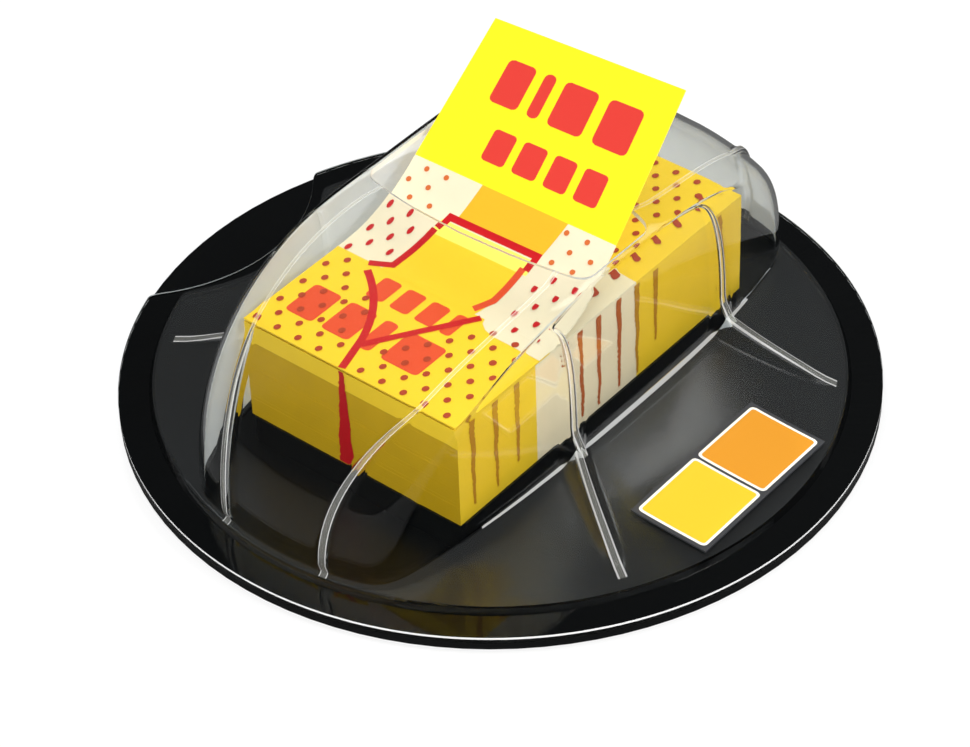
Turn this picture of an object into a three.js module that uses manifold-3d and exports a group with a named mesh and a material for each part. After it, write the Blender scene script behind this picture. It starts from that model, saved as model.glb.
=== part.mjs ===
// Desk dispenser for film index flags.
// A round base carries a raised seat with a pad of flags on it. A clear moulded cover stands over the
// pad: a flat flange, a low skirt, a loaf-shaped hood with eight stiffening ribs, and a pop-up slot in
// the top. The top flag of the pad stands out of the slot.
// Units are millimetres and +Z is up. X runs across the flags, Y along them, and the origin is the
// centre of the underside.
import * as THREE from 'three';
import { mergeVertices } from 'three/addons/utils/BufferGeometryUtils.js';
import Module from 'manifold-3d';

const wasm = await Module();
wasm.setup();

// Flags: film tabs one inch wide, printed a solid colour on their free end
const flagWidth = 25.4;
const flagLength = 41.6;
const flagThickness = 0.2;
const printedEndLength = 15.5;

// Pad: flags turned end for end, each a little forward or back of the one below it
const foldOffset = 1.6;
const padHeight = 11.4;
const padLayers = [
  { top: 0.3, shift: 0.05 },
  { top: 0.62, shift: -0.08 },
  { top: 0.88, shift: 0.06 },
  { top: 1, shift: -0.15 },
];

// Base disc and the non-slip pad in its underside
const discRadius = 37.2;
const discUnderside = 0.25;
const discTop = 1.3;
const discEdge = 0.3;
const discSegments = 96;
const gripRadius = 33;
const gripRecessDepth = 0.45;
const gripClearance = 0.3;

// Raised seat under the pad of flags
const seatHeight = 3.1;
const seatMargin = 0.2;
const seatCornerRadius = 1.2;

// Clear cover: wall, flange, lip and skirt
const wall = 0.6;
const flangeThickness = 0.7;
const flangeWidth = 3;
const lipHeight = 0.6;
const lipRun = 0.4;
const creaseRise = 1.8;
const endCreaseRise = 0.3;
const skirtCurl = 3;
const skirtSlope = 0.25;

// Clear cover: hood
const hoodHeight = 20.4;
const hoodSideGap = 2.5;
const hoodSideSag = 4.2;
const hoodSideBow = 3;
const hoodEndGap = 0.9;
const hoodCorner = 2.6;
const shoulderCorner = 2.6;
const endRoundness = 2.35;
const sideRoundness = 5;

// Clear cover: pop-up slot in the top of the hood
const slotSideGap = 0.6;
const slotCentreY = 1.8;
const slotHalfLength = 7.1;
const slotEndSag = 1.8;
const slotCorner = 1.3;
const slotCrown = 0.8;

// Clear cover: finger notch in the flange on the left
const notchDepth = 7.2;
const notchHalfWidth = 12.4;
const notchLand = 1.5;
const notchCornerBlend = 1.2;

// Clear cover: stiffening ribs
const ribStripHalf = 0.45;
const ribFlank = 1.1;
const ribFootSpread = 1.6;
const ribStripSpread = 0.8;
const endRibX = 5.9;
const endRibRelief = 0.75;
const sideRibFrontY = -7.6;
const sideRibBackY = 16.4;
const sideRibFlank = 2;
const sideRibAngle = 31;
const sideRibRelief = 1.5;
const sideRibReach = 0.78;
const sideRibWallRelief = 0.45;
const gussetRise = 0.2;
const innerRibShare = 0.55;

// Fanning of the rib lines towards the corners of the hood as it narrows
const sideFanShare = 0.4;
const leastSideFan = 0.15;
const endFan = 1.1;
const leastEndFan = 0.3;

// Spacing of the cover's faces: shares of the skirt, angles up the hood, angles and shares round it
const skirtShares = [0, 0.22, 0.45, 0.68, 0.86, 1];
const hoodAngles = [4, 10, 18, 28, 38, 48, 58, 68, 78, 90];
const sideAngles = [-61, -53, -46, -38, -23, -12, 0, 12, 23, 38, 46, 53, 61];
const notchAngles = [-21.5, -20, -18.5, -16, 16, 18.5, 20, 21.5];
const endShares = [-0.45, -0.15, 0.15, 0.45];
const cornerShares = [0, 0.25, 0.5, 0.75, 1];

// Raised flag: length of its stuck end, slope of its free end and twist along the risen part
const stuckLength = 13.8;
const freeEndSlopeDegrees = 35;
const slotClearance = 0.8;
const raisedTwistDegrees = 11;
const riseAboveBend = 4.5;
const liftEase = 4;
const bendEase = 5;
const raisedRows = 20;
const raisedColumns = 4;

// Sticker on the skirt
const stickerLength = 19;
const stickerWidth = 8.6;
const stickerThickness = 0.2;
const stickerLift = 0.15;
const stickerRingGap = 2.3;
const stickerCornerRadius = 1.2;

// Places that follow from the sizes above
const padLength = flagLength + foldOffset;
const gripTop = discUnderside + gripRecessDepth;
const seatTop = discTop + seatHeight;
const padTop = seatTop + padHeight;
const flangeTop = discTop + flangeThickness;
const lipTop = flangeTop + lipHeight;
const creaseMiddleZ = lipTop + creaseRise;
const creaseEndZ = lipTop + endCreaseRise;
const hoodTop = flangeTop + hoodHeight;
const ringRadius = discRadius - flangeWidth;
const hoodEndRadius = ringRadius - hoodEndGap;
const hoodHalfWidth = flagWidth / 2 + hoodSideGap;
const slotHalfWidth = flagWidth / 2 + slotSideGap;
const stickerCentreX = ringRadius - stickerRingGap - stickerWidth / 2;
const slotChord = slotHalfWidth - slotCorner;
const slotEndRadius = (slotChord ** 2 + slotEndSag ** 2) / (2 * slotEndSag);

// Colours of plastic, film and print
const blackColour = 0x111518;
const rubberColour = 0x2b2d2f;
const clearColour = 0xdfe6e6;
const stackColour = 0xf2cf3a;
const creamColour = 0xf4ecd8;
const brightColour = 0xfff02a;
const stickerColour = 0xf3f0e6;

const material = (color, roughness, options = {}) =>
  new THREE.MeshStandardMaterial({ color, roughness, metalness: 0, ...options });

const blackPlastic = material(blackColour, 0.45);
const gripRubber = material(rubberColour, 0.85);
const clearPlastic = material(clearColour, 0.08, { opacity: 0.25, transparent: true });
const padFilm = material(0xffffff, 0.45, { vertexColors: true });
const flagFilm = material(0xffffff, 0.4, { vertexColors: true });
const raisedFilm = material(0xffffff, 0.35, { vertexColors: true });
const stickerFilm = material(stickerColour, 0.5);

// Steps of the searches for a corner, for a place on the crease and for a place on the skirt
const cornerSteps = 12;
const halvings = 40;
const seatSteps = 30;

const lerp = (a, b, t) => a + (b - a) * t;
const clamp = (x, low, high) => Math.min(high, Math.max(low, x));

function smoothstep(low, high, x) {
  const t = clamp((x - low) / (high - low), 0, 1);
  return t * t * (3 - 2 * t);
}

function namedMesh(name, geometry, meshMaterial) {
  const mesh = new THREE.Mesh(geometry, meshMaterial);
  mesh.name = name;
  return mesh;
}

// Signed volume of an indexed mesh, positive when its faces point out
function signedVolume(positions, indices) {
  const corner = (k) => new THREE.Vector3().fromArray(positions, indices[k] * 3);
  let volume = 0;
  for (let k = 0; k < indices.length; k += 3) {
    volume += corner(k).dot(corner(k + 1).cross(corner(k + 2))) / 6;
  }
  return volume;
}

// Closed mesh from triangles of shared vertices, turned so that its faces point out
function closedGeometry(positions, indices) {
  const turned = signedVolume(positions, indices) < 0;
  const order = turned ? [0, 2, 1] : [0, 1, 2];
  const faces = [];
  for (let k = 0; k < indices.length; k += 3) {
    order.forEach((offset) => faces.push(indices[k + offset]));
  }
  const geometry = new THREE.BufferGeometry();
  geometry.setAttribute('position', new THREE.Float32BufferAttribute(positions, 3));
  geometry.setIndex(faces);
  geometry.computeVertexNormals();
  return geometry;
}

// Skin over rows of equally many points, closed along each row and from the last row to the first
function ringSkin(rows) {
  const count = rows[0].length;
  const positions = rows.flat().flatMap((p) => [p.x, p.y, p.z]);
  const indices = [];
  for (let r = 0; r < rows.length; r += 1) {
    const next = (r + 1) % rows.length;
    for (let s = 0; s < count; s += 1) {
      const t = (s + 1) % count;
      const [a, b, c, d] = [r * count + s, r * count + t, next * count + t, next * count + s];
      indices.push(a, b, c, a, c, d);
    }
  }
  return closedGeometry(positions, indices);
}

// Thin sheet between a grid of points and the same grid moved by an offset at each point
function sheetSkin(grid, offsetAt) {
  const rows = grid.length;
  const columns = grid[0].length;
  const bottom = grid.flat();
  const top = grid.flatMap((row, r) => row.map((p, c) => p.clone().add(offsetAt(r, c))));
  const positions = [...bottom, ...top].flatMap((p) => [p.x, p.y, p.z]);
  const lift = rows * columns;
  const at = (r, c) => r * columns + c;
  const indices = [];
  for (let r = 0; r < rows - 1; r += 1) {
    for (let c = 0; c < columns - 1; c += 1) {
      const [a, b, d, e] = [at(r, c), at(r, c + 1), at(r + 1, c + 1), at(r + 1, c)];
      indices.push(a, d, b, a, e, d);
      indices.push(lift + a, lift + b, lift + d, lift + a, lift + d, lift + e);
    }
  }
  const border = [];
  for (let c = 0; c < columns - 1; c += 1) border.push([at(0, c), at(0, c + 1)]);
  for (let r = 0; r < rows - 1; r += 1) border.push([at(r, columns - 1), at(r + 1, columns - 1)]);
  for (let c = columns - 1; c > 0; c -= 1) border.push([at(rows - 1, c), at(rows - 1, c - 1)]);
  for (let r = rows - 1; r > 0; r -= 1) border.push([at(r, 0), at(r - 1, 0)]);
  border.forEach(([a, b]) => indices.push(a, b, lift + b, a, lift + b, lift + a));
  return closedGeometry(positions, indices);
}

function roundedRectangle(width, length, radius) {
  const [x, y] = [width / 2, length / 2];
  const shape = new THREE.Shape();
  shape.moveTo(-x + radius, -y);
  shape.lineTo(x - radius, -y);
  shape.absarc(x - radius, -y + radius, radius, -Math.PI / 2, 0, false);
  shape.lineTo(x, y - radius);
  shape.absarc(x - radius, y - radius, radius, 0, Math.PI / 2, false);
  shape.lineTo(-x + radius, y);
  shape.absarc(-x + radius, y - radius, radius, Math.PI / 2, Math.PI, false);
  shape.lineTo(-x, -y + radius);
  shape.absarc(-x + radius, -y + radius, radius, Math.PI, 1.5 * Math.PI, false);
  return shape;
}

const quarter = Math.PI / 2;
const degrees = THREE.MathUtils.degToRad;

// Solid of a closed geometry for joining, with flattened triangles at poles left out
function toSolid(geometry) {
  const bare = geometry.clone();
  bare.deleteAttribute('normal');
  bare.deleteAttribute('uv');
  const merged = mergeVertices(bare, 1e-4);
  const positions = Array.from(merged.attributes.position.array);
  const source = Array.from(merged.index.array);
  const faces = [];
  for (let k = 0; k < source.length; k += 3) {
    const face = source.slice(k, k + 3);
    if (new Set(face).size === 3) faces.push(...face);
  }
  const closed = closedGeometry(positions, faces);
  return new wasm.Manifold(new wasm.Mesh({
    numProp: 3,
    vertProperties: Float32Array.from(positions),
    triVerts: Uint32Array.from(closed.index.array),
  }));
}

function fromSolid(solid) {
  const { vertProperties, triVerts } = solid.getMesh();
  return closedGeometry(Array.from(vertProperties), Array.from(triVerts));
}

// Gives each face the colour of the print at its middle
function paintFaces(geometry, colourAt) {
  const split = geometry.toNonIndexed();
  const points = split.attributes.position;
  const colours = [];
  const middle = new THREE.Vector3();
  for (let k = 0; k < points.count; k += 3) {
    middle.set(0, 0, 0);
    for (let c = 0; c < 3; c += 1) middle.add(new THREE.Vector3().fromBufferAttribute(points, k + c));
    const colour = new THREE.Color(colourAt(middle.divideScalar(3)));
    for (let c = 0; c < 3; c += 1) colours.push(colour.r, colour.g, colour.b);
  }
  split.setAttribute('color', new THREE.Float32BufferAttribute(colours, 3));
  split.computeVertexNormals();
  return split;
}

// Base: a disc with a recess for the grip underneath and the raised seat on top
function baseTray() {
  const profile = [
    [0, gripTop],
    [gripRadius + gripClearance, gripTop],
    [gripRadius + gripClearance, discUnderside],
    [discRadius - discEdge, discUnderside],
    [discRadius, discUnderside + discEdge],
    [discRadius, discTop],
    [0, discTop],
  ];
  const disc = new THREE.LatheGeometry(profile.map(([x, y]) => new THREE.Vector2(x, y)), discSegments);
  disc.rotateX(quarter);
  const seatShape = roundedRectangle(flagWidth + 2 * seatMargin, padLength + 2 * seatMargin, seatCornerRadius);
  const seatRoot = (gripTop + discTop) / 2;
  const seat = new THREE.ExtrudeGeometry(seatShape, {
    depth: seatTop - seatRoot,
    bevelEnabled: false,
    curveSegments: 5,
  });
  seat.translate(0, 0, seatRoot);
  return fromSolid(toSolid(disc).add(toSolid(seat)));
}

function gripPad() {
  const pad = new THREE.CylinderGeometry(gripRadius, gripRadius, gripTop, discSegments);
  pad.rotateX(quarter);
  pad.translate(0, 0, gripTop / 2);
  return pad;
}

// Shape of the hood's level curve at a height given by an angle: 0 at the crease, a quarter turn at the slot
function levelAt(phi) {
  const rise = Math.sin(phi) ** (2 / endRoundness);
  const endShare = Math.cos(phi) ** (2 / endRoundness);
  const sideShare = Math.cos(phi) ** (2 / sideRoundness);
  const level = {
    rise,
    centreY: slotCentreY * (1 - endShare),
    halfWidth: lerp(slotHalfWidth, hoodHalfWidth, sideShare),
    halfLength: lerp(slotHalfLength, hoodEndRadius, endShare),
    endRadius: lerp(hoodEndRadius, slotEndRadius, rise),
    corner: lerp(lerp(hoodCorner, shoulderCorner, Math.sin(2 * phi)), slotCorner, rise ** 6),
  };
  level.cornerX = level.halfWidth;
  for (let k = 0; k < cornerSteps; k += 1) {
    level.cornerY = endCurveY(level, level.cornerX);
    level.cornerX = sideCurveX(level, level.cornerY);
  }
  level.sideEndY = level.cornerY - level.corner;
  level.endEndX = level.cornerX - level.corner;
  return level;
}

// Half width of a level curve's side, which bows outwards
function sideCurveX(level, y) {
  return level.halfWidth - hoodSideSag * Math.abs(y / hoodEndRadius) ** hoodSideBow;
}

// Half length of a level curve's end, which is an arc
function endCurveY(level, x) {
  return level.halfLength - level.endRadius + Math.sqrt(level.endRadius ** 2 - x ** 2);
}

const creaseLevel = levelAt(0);

// Place on a level curve that belongs to a station
function onLevel(level, station) {
  if (station.kind === 'side') {
    const share = Math.abs(station.y) / creaseLevel.sideEndY;
    const shrink = Math.max(level.sideEndY / creaseLevel.sideEndY, 1e-6);
    const power = clamp(1 - Math.log(shrink) / Math.log(sideFanShare), leastSideFan, 1);
    const y = Math.sign(station.y) * share ** power * level.sideEndY;
    return { x: station.sx * sideCurveX(level, y), y: y + level.centreY };
  }
  if (station.kind === 'end') {
    const power = clamp(1 - endFan * level.rise ** 2, leastEndFan, 1);
    const x = Math.sign(station.share) * Math.abs(station.share) ** power * level.endEndX;
    return { x, y: station.sy * endCurveY(level, x) + level.centreY };
  }
  const from = { x: sideCurveX(level, level.sideEndY), y: level.sideEndY };
  const to = { x: level.endEndX, y: endCurveY(level, level.endEndX) };
  const t = station.t;
  const blend = (a, b, c) => (1 - t) ** 2 * a + 2 * t * (1 - t) * b + t ** 2 * c;
  return {
    x: station.sx * blend(from.x, level.cornerX, to.x),
    y: station.sy * blend(from.y, level.cornerY, to.y) + level.centreY,
  };
}

// Distance from the centre to the notch's edge in a direction, or a large value where the notch isn't
function notchRadius(angle) {
  const chordX = Math.sqrt(discRadius ** 2 - notchHalfWidth ** 2);
  const sagitta = chordX - (discRadius - notchDepth);
  const radius = (notchHalfWidth ** 2 + sagitta ** 2) / (2 * sagitta);
  const centreX = discRadius - notchDepth + radius;
  const off = Math.abs(Math.atan2(Math.sin(angle - Math.PI), Math.cos(angle - Math.PI)));
  const cross = centreX * Math.sin(off);
  const reach = radius ** 2 - cross ** 2;
  return off < quarter && reach > 0 ? centreX * Math.cos(off) - Math.sqrt(reach) : 2 * discRadius;
}

// Smaller of two lengths, with a rounded change from one to the other
function softLeast(a, b, blend) {
  const share = clamp(0.5 + (b - a) / (2 * blend), 0, 1);
  return lerp(b, a, share) - blend * share * (1 - share);
}

const outerRadiusAt = (angle) => softLeast(discRadius, notchRadius(angle), notchCornerBlend);
const ringRadiusAt = (angle) => softLeast(ringRadius, notchRadius(angle) - notchLand, notchCornerBlend);

// Angle on the flange at which the sides end and the corners begin
const sideEnd = onLevel(creaseLevel, { kind: 'corner', sx: 1, sy: 1, t: 0 });
const cornerFlangeAngle = THREE.MathUtils.radToDeg(Math.atan2(sideEnd.y, sideEnd.x));

// Height of the crease, which is lower towards the ends of the hood
function creaseZ(y) {
  const share = clamp(Math.abs(y) / creaseLevel.cornerY, 0, 1);
  return lerp(creaseMiddleZ, creaseEndZ, share ** 3);
}

// Angle on the flange, from the side's middle, that a place on the crease leads to
function flangeAngle(y) {
  const knots = [
    [-creaseLevel.sideEndY, -cornerFlangeAngle],
    [sideRibFrontY, -sideRibAngle],
    [sideRibBackY, sideRibAngle],
    [creaseLevel.sideEndY, cornerFlangeAngle],
  ];
  const k = clamp(knots.findIndex(([knotY]) => knotY >= y), 1, knots.length - 1);
  const [[y0, a0], [y1, a1]] = [knots[k - 1], knots[k]];
  return lerp(a0, a1, (y - y0) / (y1 - y0));
}

// Crease place of a flange angle, the other way round
function creaseYOf(angle) {
  let [low, high] = [-creaseLevel.sideEndY, creaseLevel.sideEndY];
  for (let k = 0; k < halvings; k += 1) {
    const middle = (low + high) / 2;
    if (flangeAngle(middle) < angle) low = middle;
    else high = middle;
  }
  return (low + high) / 2;
}

// Columns across a rib: foot, strip edge, strip edge, foot
const ribColumns = [
  { place: -1, strip: 0, rib: 0 },
  { place: 0, strip: -1, rib: 1 },
  { place: 0, strip: 1, rib: 1 },
  { place: 1, strip: 0, rib: 0 },
];

// Stations up one side of the cover, from its front corner to its back corner
function sideStations(sx, extraAngles) {
  const plain = [...sideAngles, ...extraAngles].map((angle) => ({ y: creaseYOf(angle), angle, rib: 0 }));
  const ribs = [[sideRibFrontY, -sideRibAngle], [sideRibBackY, sideRibAngle]].flatMap(([y, angle]) =>
    ribColumns.map((column) => ({
      y: y + column.place * sideRibFlank + column.strip * ribStripHalf,
      angle: angle + column.place * ribFootSpread + column.strip * ribStripSpread,
      rib: column.rib,
    })));
  return [...plain, ...ribs]
    .sort((a, b) => a.angle - b.angle)
    .map((station) => ({ ...station, kind: 'side', sx }));
}

// Stations over one end of the cover, from the left corner to the right corner
function endStations(sy) {
  const shareOf = (x) => x / creaseLevel.endEndX;
  const plain = endShares.map((share) => ({ share, rib: 0 }));
  const ribs = [-endRibX, endRibX].flatMap((x) => ribColumns.map((column) => ({
    share: shareOf(x + column.place * ribFlank + column.strip * ribStripHalf),
    rib: column.rib,
  })));
  return [...plain, ...ribs]
    .sort((a, b) => a.share - b.share)
    .map((station) => ({ ...station, kind: 'end', sy }));
}

const cornerStations = (sx, sy) => cornerShares.map((t) => ({ kind: 'corner', sx, sy, t, rib: 0 }));

// All stations, counter-clockwise from the front of the right side
function coverStations() {
  return [
    ...sideStations(1, []),
    ...cornerStations(1, 1),
    ...endStations(1).reverse(),
    ...cornerStations(-1, 1).reverse(),
    ...sideStations(-1, notchAngles).reverse(),
    ...cornerStations(-1, -1),
    ...endStations(-1),
    ...cornerStations(1, -1).reverse(),
  ];
}

function flangeDirection(station) {
  if (station.kind === 'side') {
    const angle = degrees(station.angle);
    return Math.atan2(Math.sin(angle), station.sx * Math.cos(angle));
  }
  const crease = onLevel(creaseLevel, station);
  return Math.atan2(crease.y, crease.x);
}

const polar = (radius, angle, z) => new THREE.Vector3(radius * Math.cos(angle), radius * Math.sin(angle), z);

// Skirt point of a station: share 0 at the lip and 1 at the crease, curling up towards the crease
function skirtPoint(station, share) {
  const crease = onLevel(creaseLevel, station);
  const angle = flangeDirection(station);
  const lip = polar(ringRadiusAt(angle) - lipRun, angle, lipTop);
  const curl = skirtSlope * share + (1 - skirtSlope) * share ** skirtCurl;
  return new THREE.Vector3(
    lerp(lip.x, crease.x, share),
    lerp(lip.y, crease.y, share),
    lerp(lipTop, creaseZ(crease.y), curl),
  );
}

function hoodPoint(station, level) {
  const place = onLevel(level, station);
  const slotZ = hoodTop - slotCrown * (place.x / slotHalfWidth) ** 2;
  const foot = creaseZ(onLevel(creaseLevel, station).y);
  return new THREE.Vector3(place.x, place.y, lerp(foot, slotZ, level.rise));
}

// How far a rib stands proud on the skirt and on the hood
function skirtRelief(station, share) {
  if (station.kind !== 'side') return 0;
  return sideRibRelief * clamp((share - 1 + sideRibReach) / sideRibReach, 0, 1) ** 0.7;
}

function hoodRelief(station, rise) {
  if (station.kind === 'side') {
    const gusset = (sideRibRelief - sideRibWallRelief) * (1 - smoothstep(0, gussetRise, rise));
    return gusset + sideRibWallRelief * (1 - smoothstep(0.9, 1, rise));
  }
  return endRibRelief * smoothstep(-0.1, 0.08, rise) * (1 - smoothstep(0.62, 0.85, rise));
}

// Outward direction of the smooth surface at a grid point, from its neighbours
function gridNormal(grid, r, s) {
  const count = grid[r].length;
  const along = grid[r][(s + 1) % count].clone().sub(grid[r][(s + count - 1) % count]);
  const up = grid[Math.min(r + 1, grid.length - 1)][s].clone().sub(grid[Math.max(r - 1, 0)][s]);
  return along.cross(up).normalize();
}

// Cover: outer skin from the flange over lip, skirt and hood to the slot, and back along the inner skin
function clearCover() {
  const stations = coverStations();
  const levels = hoodAngles.map((angle) => levelAt(degrees(angle)));
  const smooth = [
    stations.map((station) => polar(ringRadiusAt(flangeDirection(station)), flangeDirection(station), flangeTop)),
    ...skirtShares.map((share) => stations.map((station) => skirtPoint(station, share))),
    ...levels.map((level) => stations.map((station) => hoodPoint(station, level))),
  ];
  const reliefs = [
    stations.map(() => 0),
    ...skirtShares.map((share) => stations.map((station) => station.rib * skirtRelief(station, share))),
    ...levels.map((level) => stations.map((station) => station.rib * hoodRelief(station, level.rise))),
  ];
  const normals = smooth.map((row, r) => row.map((point, s) => gridNormal(smooth, r, s)));
  const skinAt = (depth, reliefShare) => smooth.slice(1).map((row, k) => row.map((point, s) => {
    const offset = reliefShare * reliefs[k + 1][s] - depth;
    return point.clone().addScaledVector(normals[k + 1][s], offset);
  }));
  const flangeRow = (inset, z, radiusAt) => stations.map((station) => {
    const angle = flangeDirection(station);
    return polar(radiusAt(angle) - inset, angle, z);
  });
  return ringSkin([
    flangeRow(0, flangeTop, outerRadiusAt),
    smooth[0],
    ...skinAt(0, 1),
    ...skinAt(wall, innerRibShare).reverse(),
    flangeRow(lipRun, discTop, ringRadiusAt),
    flangeRow(0, discTop, outerRadiusAt),
  ]);
}

// Pad of flags: layers that lie a little forward or back of each other
function flagPad() {
  const [x, y, border] = [flagWidth / 2, padLength / 2, padLength / 6];
  const outline = [[-x, -y], [x, -y], [x, -border], [x, border], [x, y], [-x, y], [-x, border], [-x, -border]];
  const rows = [];
  let bottom = 0;
  padLayers.forEach(({ top, shift }) => {
    [bottom, top].forEach((share) => {
      const z = seatTop + share * padHeight;
      rows.push(outline.map(([px, py]) => new THREE.Vector3(px, py + shift, z)));
    });
    bottom = top;
  });
  const count = outline.length;
  const positions = rows.flat().flatMap((p) => [p.x, p.y, p.z]);
  const indices = [];
  for (let r = 0; r < rows.length - 1; r += 1) {
    for (let s = 0; s < count; s += 1) {
      const [a, b] = [r * count + s, r * count + ((s + 1) % count)];
      indices.push(a, b, b + count, a, b + count, a + count);
    }
  }
  const last = (rows.length - 1) * count;
  [[0, 1, 2, 7], [7, 2, 3, 6], [6, 3, 4, 5]].forEach(([a, b, c, d]) => {
    indices.push(a, c, b, a, d, c);
    indices.push(last + a, last + b, last + c, last + a, last + c, last + d);
  });
  return paintFaces(closedGeometry(positions, indices), (p) =>
    (Math.abs(p.y) < border ? creamColour : stackColour));
}

// Colour of a flag's film by the distance from its stuck end
function filmColour(distance) {
  return distance > flagLength - printedEndLength ? brightColour : creamColour;
}

// Next flag: flat on the pad, stuck end flush with its back and printed end to the front
function nextFlag() {
  const flag = new THREE.BoxGeometry(flagWidth, flagLength, flagThickness, 1, 12, 1);
  flag.translate(0, foldOffset / 2, padTop + flagThickness / 2);
  return paintFaces(flag, (p) => filmColour(padLength / 2 - p.y));
}

// Path of the raised flag's left edge in Y and Z, from its stuck end over the rise to its free end
function raisedPath() {
  const z = padTop + flagThickness;
  const front = -padLength / 2;
  const slope = degrees(freeEndSlopeDegrees);
  const direction = new THREE.Vector2(Math.cos(slope), Math.sin(slope));
  const slotEdge = new THREE.Vector2(slotCentreY + slotHalfLength - slotEndSag, hoodTop - slotCrown);
  const throughSlot = slotEdge.clone().add(new THREE.Vector2(-direction.y, direction.x).multiplyScalar(slotClearance));
  const lift = new THREE.Vector2(front + stuckLength, z);
  const bendStart = throughSlot.clone().addScaledVector(direction, -riseAboveBend);
  const bend = new THREE.CubicBezierCurve(
    lift,
    new THREE.Vector2(lift.x + liftEase, z),
    bendStart.clone().addScaledVector(direction, -bendEase),
    bendStart,
  );
  const straight = flagLength - stuckLength - bend.getLength();
  const path = new THREE.CurvePath();
  path.add(new THREE.LineCurve(new THREE.Vector2(front, z), lift));
  path.add(bend);
  path.add(new THREE.LineCurve(bendStart, bendStart.clone().addScaledVector(direction, straight)));
  return path;
}

// Distances along the raised flag of its rows of points
function raisedDistances() {
  const printStart = flagLength - printedEndLength;
  const even = Array.from({ length: raisedRows }, (_, k) => lerp(stuckLength, flagLength, k / (raisedRows - 1)));
  return [0, stuckLength / 2, ...even, printStart].sort((a, b) => a - b);
}

// Raised flag: stuck to the next flag at its front end and twisting a little as it rises
function raisedFlag() {
  const path = raisedPath();
  const distances = raisedDistances();
  const grid = distances.map((distance) => {
    const u = clamp(distance / flagLength, 0, 1);
    const point = path.getPointAt(u);
    const tangent = path.getTangentAt(u);
    const risen = clamp((distance - stuckLength) / (flagLength - stuckLength), 0, 1);
    const twist = degrees(raisedTwistDegrees) * risen;
    const across = new THREE.Vector3(
      Math.cos(twist),
      -tangent.y * Math.sin(twist),
      tangent.x * Math.sin(twist),
    );
    return Array.from({ length: raisedColumns }, (_, c) => new THREE.Vector3(-flagWidth / 2, point.x, point.y)
      .addScaledVector(across, flagWidth * c / (raisedColumns - 1)));
  });
  const normalAt = (r, c) => {
    const along = grid[Math.min(r + 1, grid.length - 1)][c].clone().sub(grid[Math.max(r - 1, 0)][c]);
    const across = grid[r][raisedColumns - 1].clone().sub(grid[r][0]);
    return across.cross(along).normalize();
  };
  const flat = (r) => distances[r] <= stuckLength;
  const offsetAt = (r, c) => (flat(r) ? new THREE.Vector3(0, 0, 1) : normalAt(r, c)).multiplyScalar(flagThickness);
  const printStart = path.getPointAt(1 - printedEndLength / flagLength);
  const outwards = path.getTangentAt(1);
  return paintFaces(sheetSkin(grid, offsetAt), (p) => {
    const beyond = (p.y - printStart.x) * outwards.x + (p.z - printStart.y) * outwards.y;
    return beyond > 0 ? brightColour : creamColour;
  });
}

// Height of the skirt's outer skin over a place on the right of the hood
function skirtHeight(x, y) {
  let creaseY = y;
  let share = 0.5;
  for (let k = 0; k < seatSteps; k += 1) {
    const station = { kind: 'side', sx: 1, y: creaseY, angle: flangeAngle(creaseY) };
    const [lip, crease] = [skirtPoint(station, 0), skirtPoint(station, 1)];
    share = (lip.x - x) / (lip.x - crease.x);
    creaseY += 0.7 * (y - lerp(lip.y, crease.y, share));
  }
  const station = { kind: 'side', sx: 1, y: creaseY, angle: flangeAngle(creaseY) };
  return skirtPoint(station, share).z;
}

// Sticker: a thin sheet that follows the skirt
function skirtSticker() {
  const rows = 7;
  const columns = 5;
  const grid = Array.from({ length: rows }, (_, r) => Array.from({ length: columns }, (_unused, c) => {
    const x = stickerCentreX + stickerWidth * (c / (columns - 1) - 0.5);
    const y = stickerLength * (r / (rows - 1) - 0.5);
    return new THREE.Vector3(x, y, skirtHeight(x, y) + stickerLift);
  }));
  return sheetSkin(grid, () => new THREE.Vector3(0, 0, stickerThickness));
}

const dispenser = new THREE.Group();
dispenser.add(
  namedMesh('base_tray', baseTray(), blackPlastic),
  namedMesh('grip_pad', gripPad(), gripRubber),
  namedMesh('clear_cover', clearCover(), clearPlastic),
  namedMesh('flag_pad', flagPad(), padFilm),
  namedMesh('next_flag', nextFlag(), flagFilm),
  namedMesh('raised_flag', raisedFlag(), raisedFilm),
  namedMesh('skirt_sticker', skirtSticker(), stickerFilm),
);

export default dispenser;
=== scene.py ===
"""Look of a desk dispenser of film index flags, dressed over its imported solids.

The clear cover is lofted again at a fine spacing. The flags get their print: fields of colour, dots,
an arrow and plain bars. Lengths below are millimetres and are turned to metres where meshes are made.
"""

from __future__ import annotations

import logging
import math
from dataclasses import dataclass, field
from enum import Enum
from typing import Callable, Iterable, Sequence

import bpy
from mathutils import Matrix, Vector, noise

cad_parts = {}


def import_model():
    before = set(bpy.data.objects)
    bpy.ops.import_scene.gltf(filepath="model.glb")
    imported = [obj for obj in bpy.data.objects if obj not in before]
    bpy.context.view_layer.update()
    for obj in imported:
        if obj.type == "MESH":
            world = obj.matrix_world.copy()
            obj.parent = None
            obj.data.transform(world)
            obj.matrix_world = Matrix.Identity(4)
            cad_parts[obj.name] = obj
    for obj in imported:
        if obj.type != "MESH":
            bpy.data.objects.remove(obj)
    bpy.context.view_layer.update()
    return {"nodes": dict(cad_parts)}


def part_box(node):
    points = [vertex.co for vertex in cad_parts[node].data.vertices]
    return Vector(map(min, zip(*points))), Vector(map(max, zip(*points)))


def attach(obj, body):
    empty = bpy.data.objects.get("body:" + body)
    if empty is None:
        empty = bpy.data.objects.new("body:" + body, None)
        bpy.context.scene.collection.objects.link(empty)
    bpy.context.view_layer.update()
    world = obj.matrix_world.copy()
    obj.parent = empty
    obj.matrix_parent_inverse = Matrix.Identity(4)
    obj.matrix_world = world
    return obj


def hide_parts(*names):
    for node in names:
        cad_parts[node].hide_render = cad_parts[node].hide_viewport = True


log = logging.getLogger("dispenser")

MM = 0.001

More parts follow.
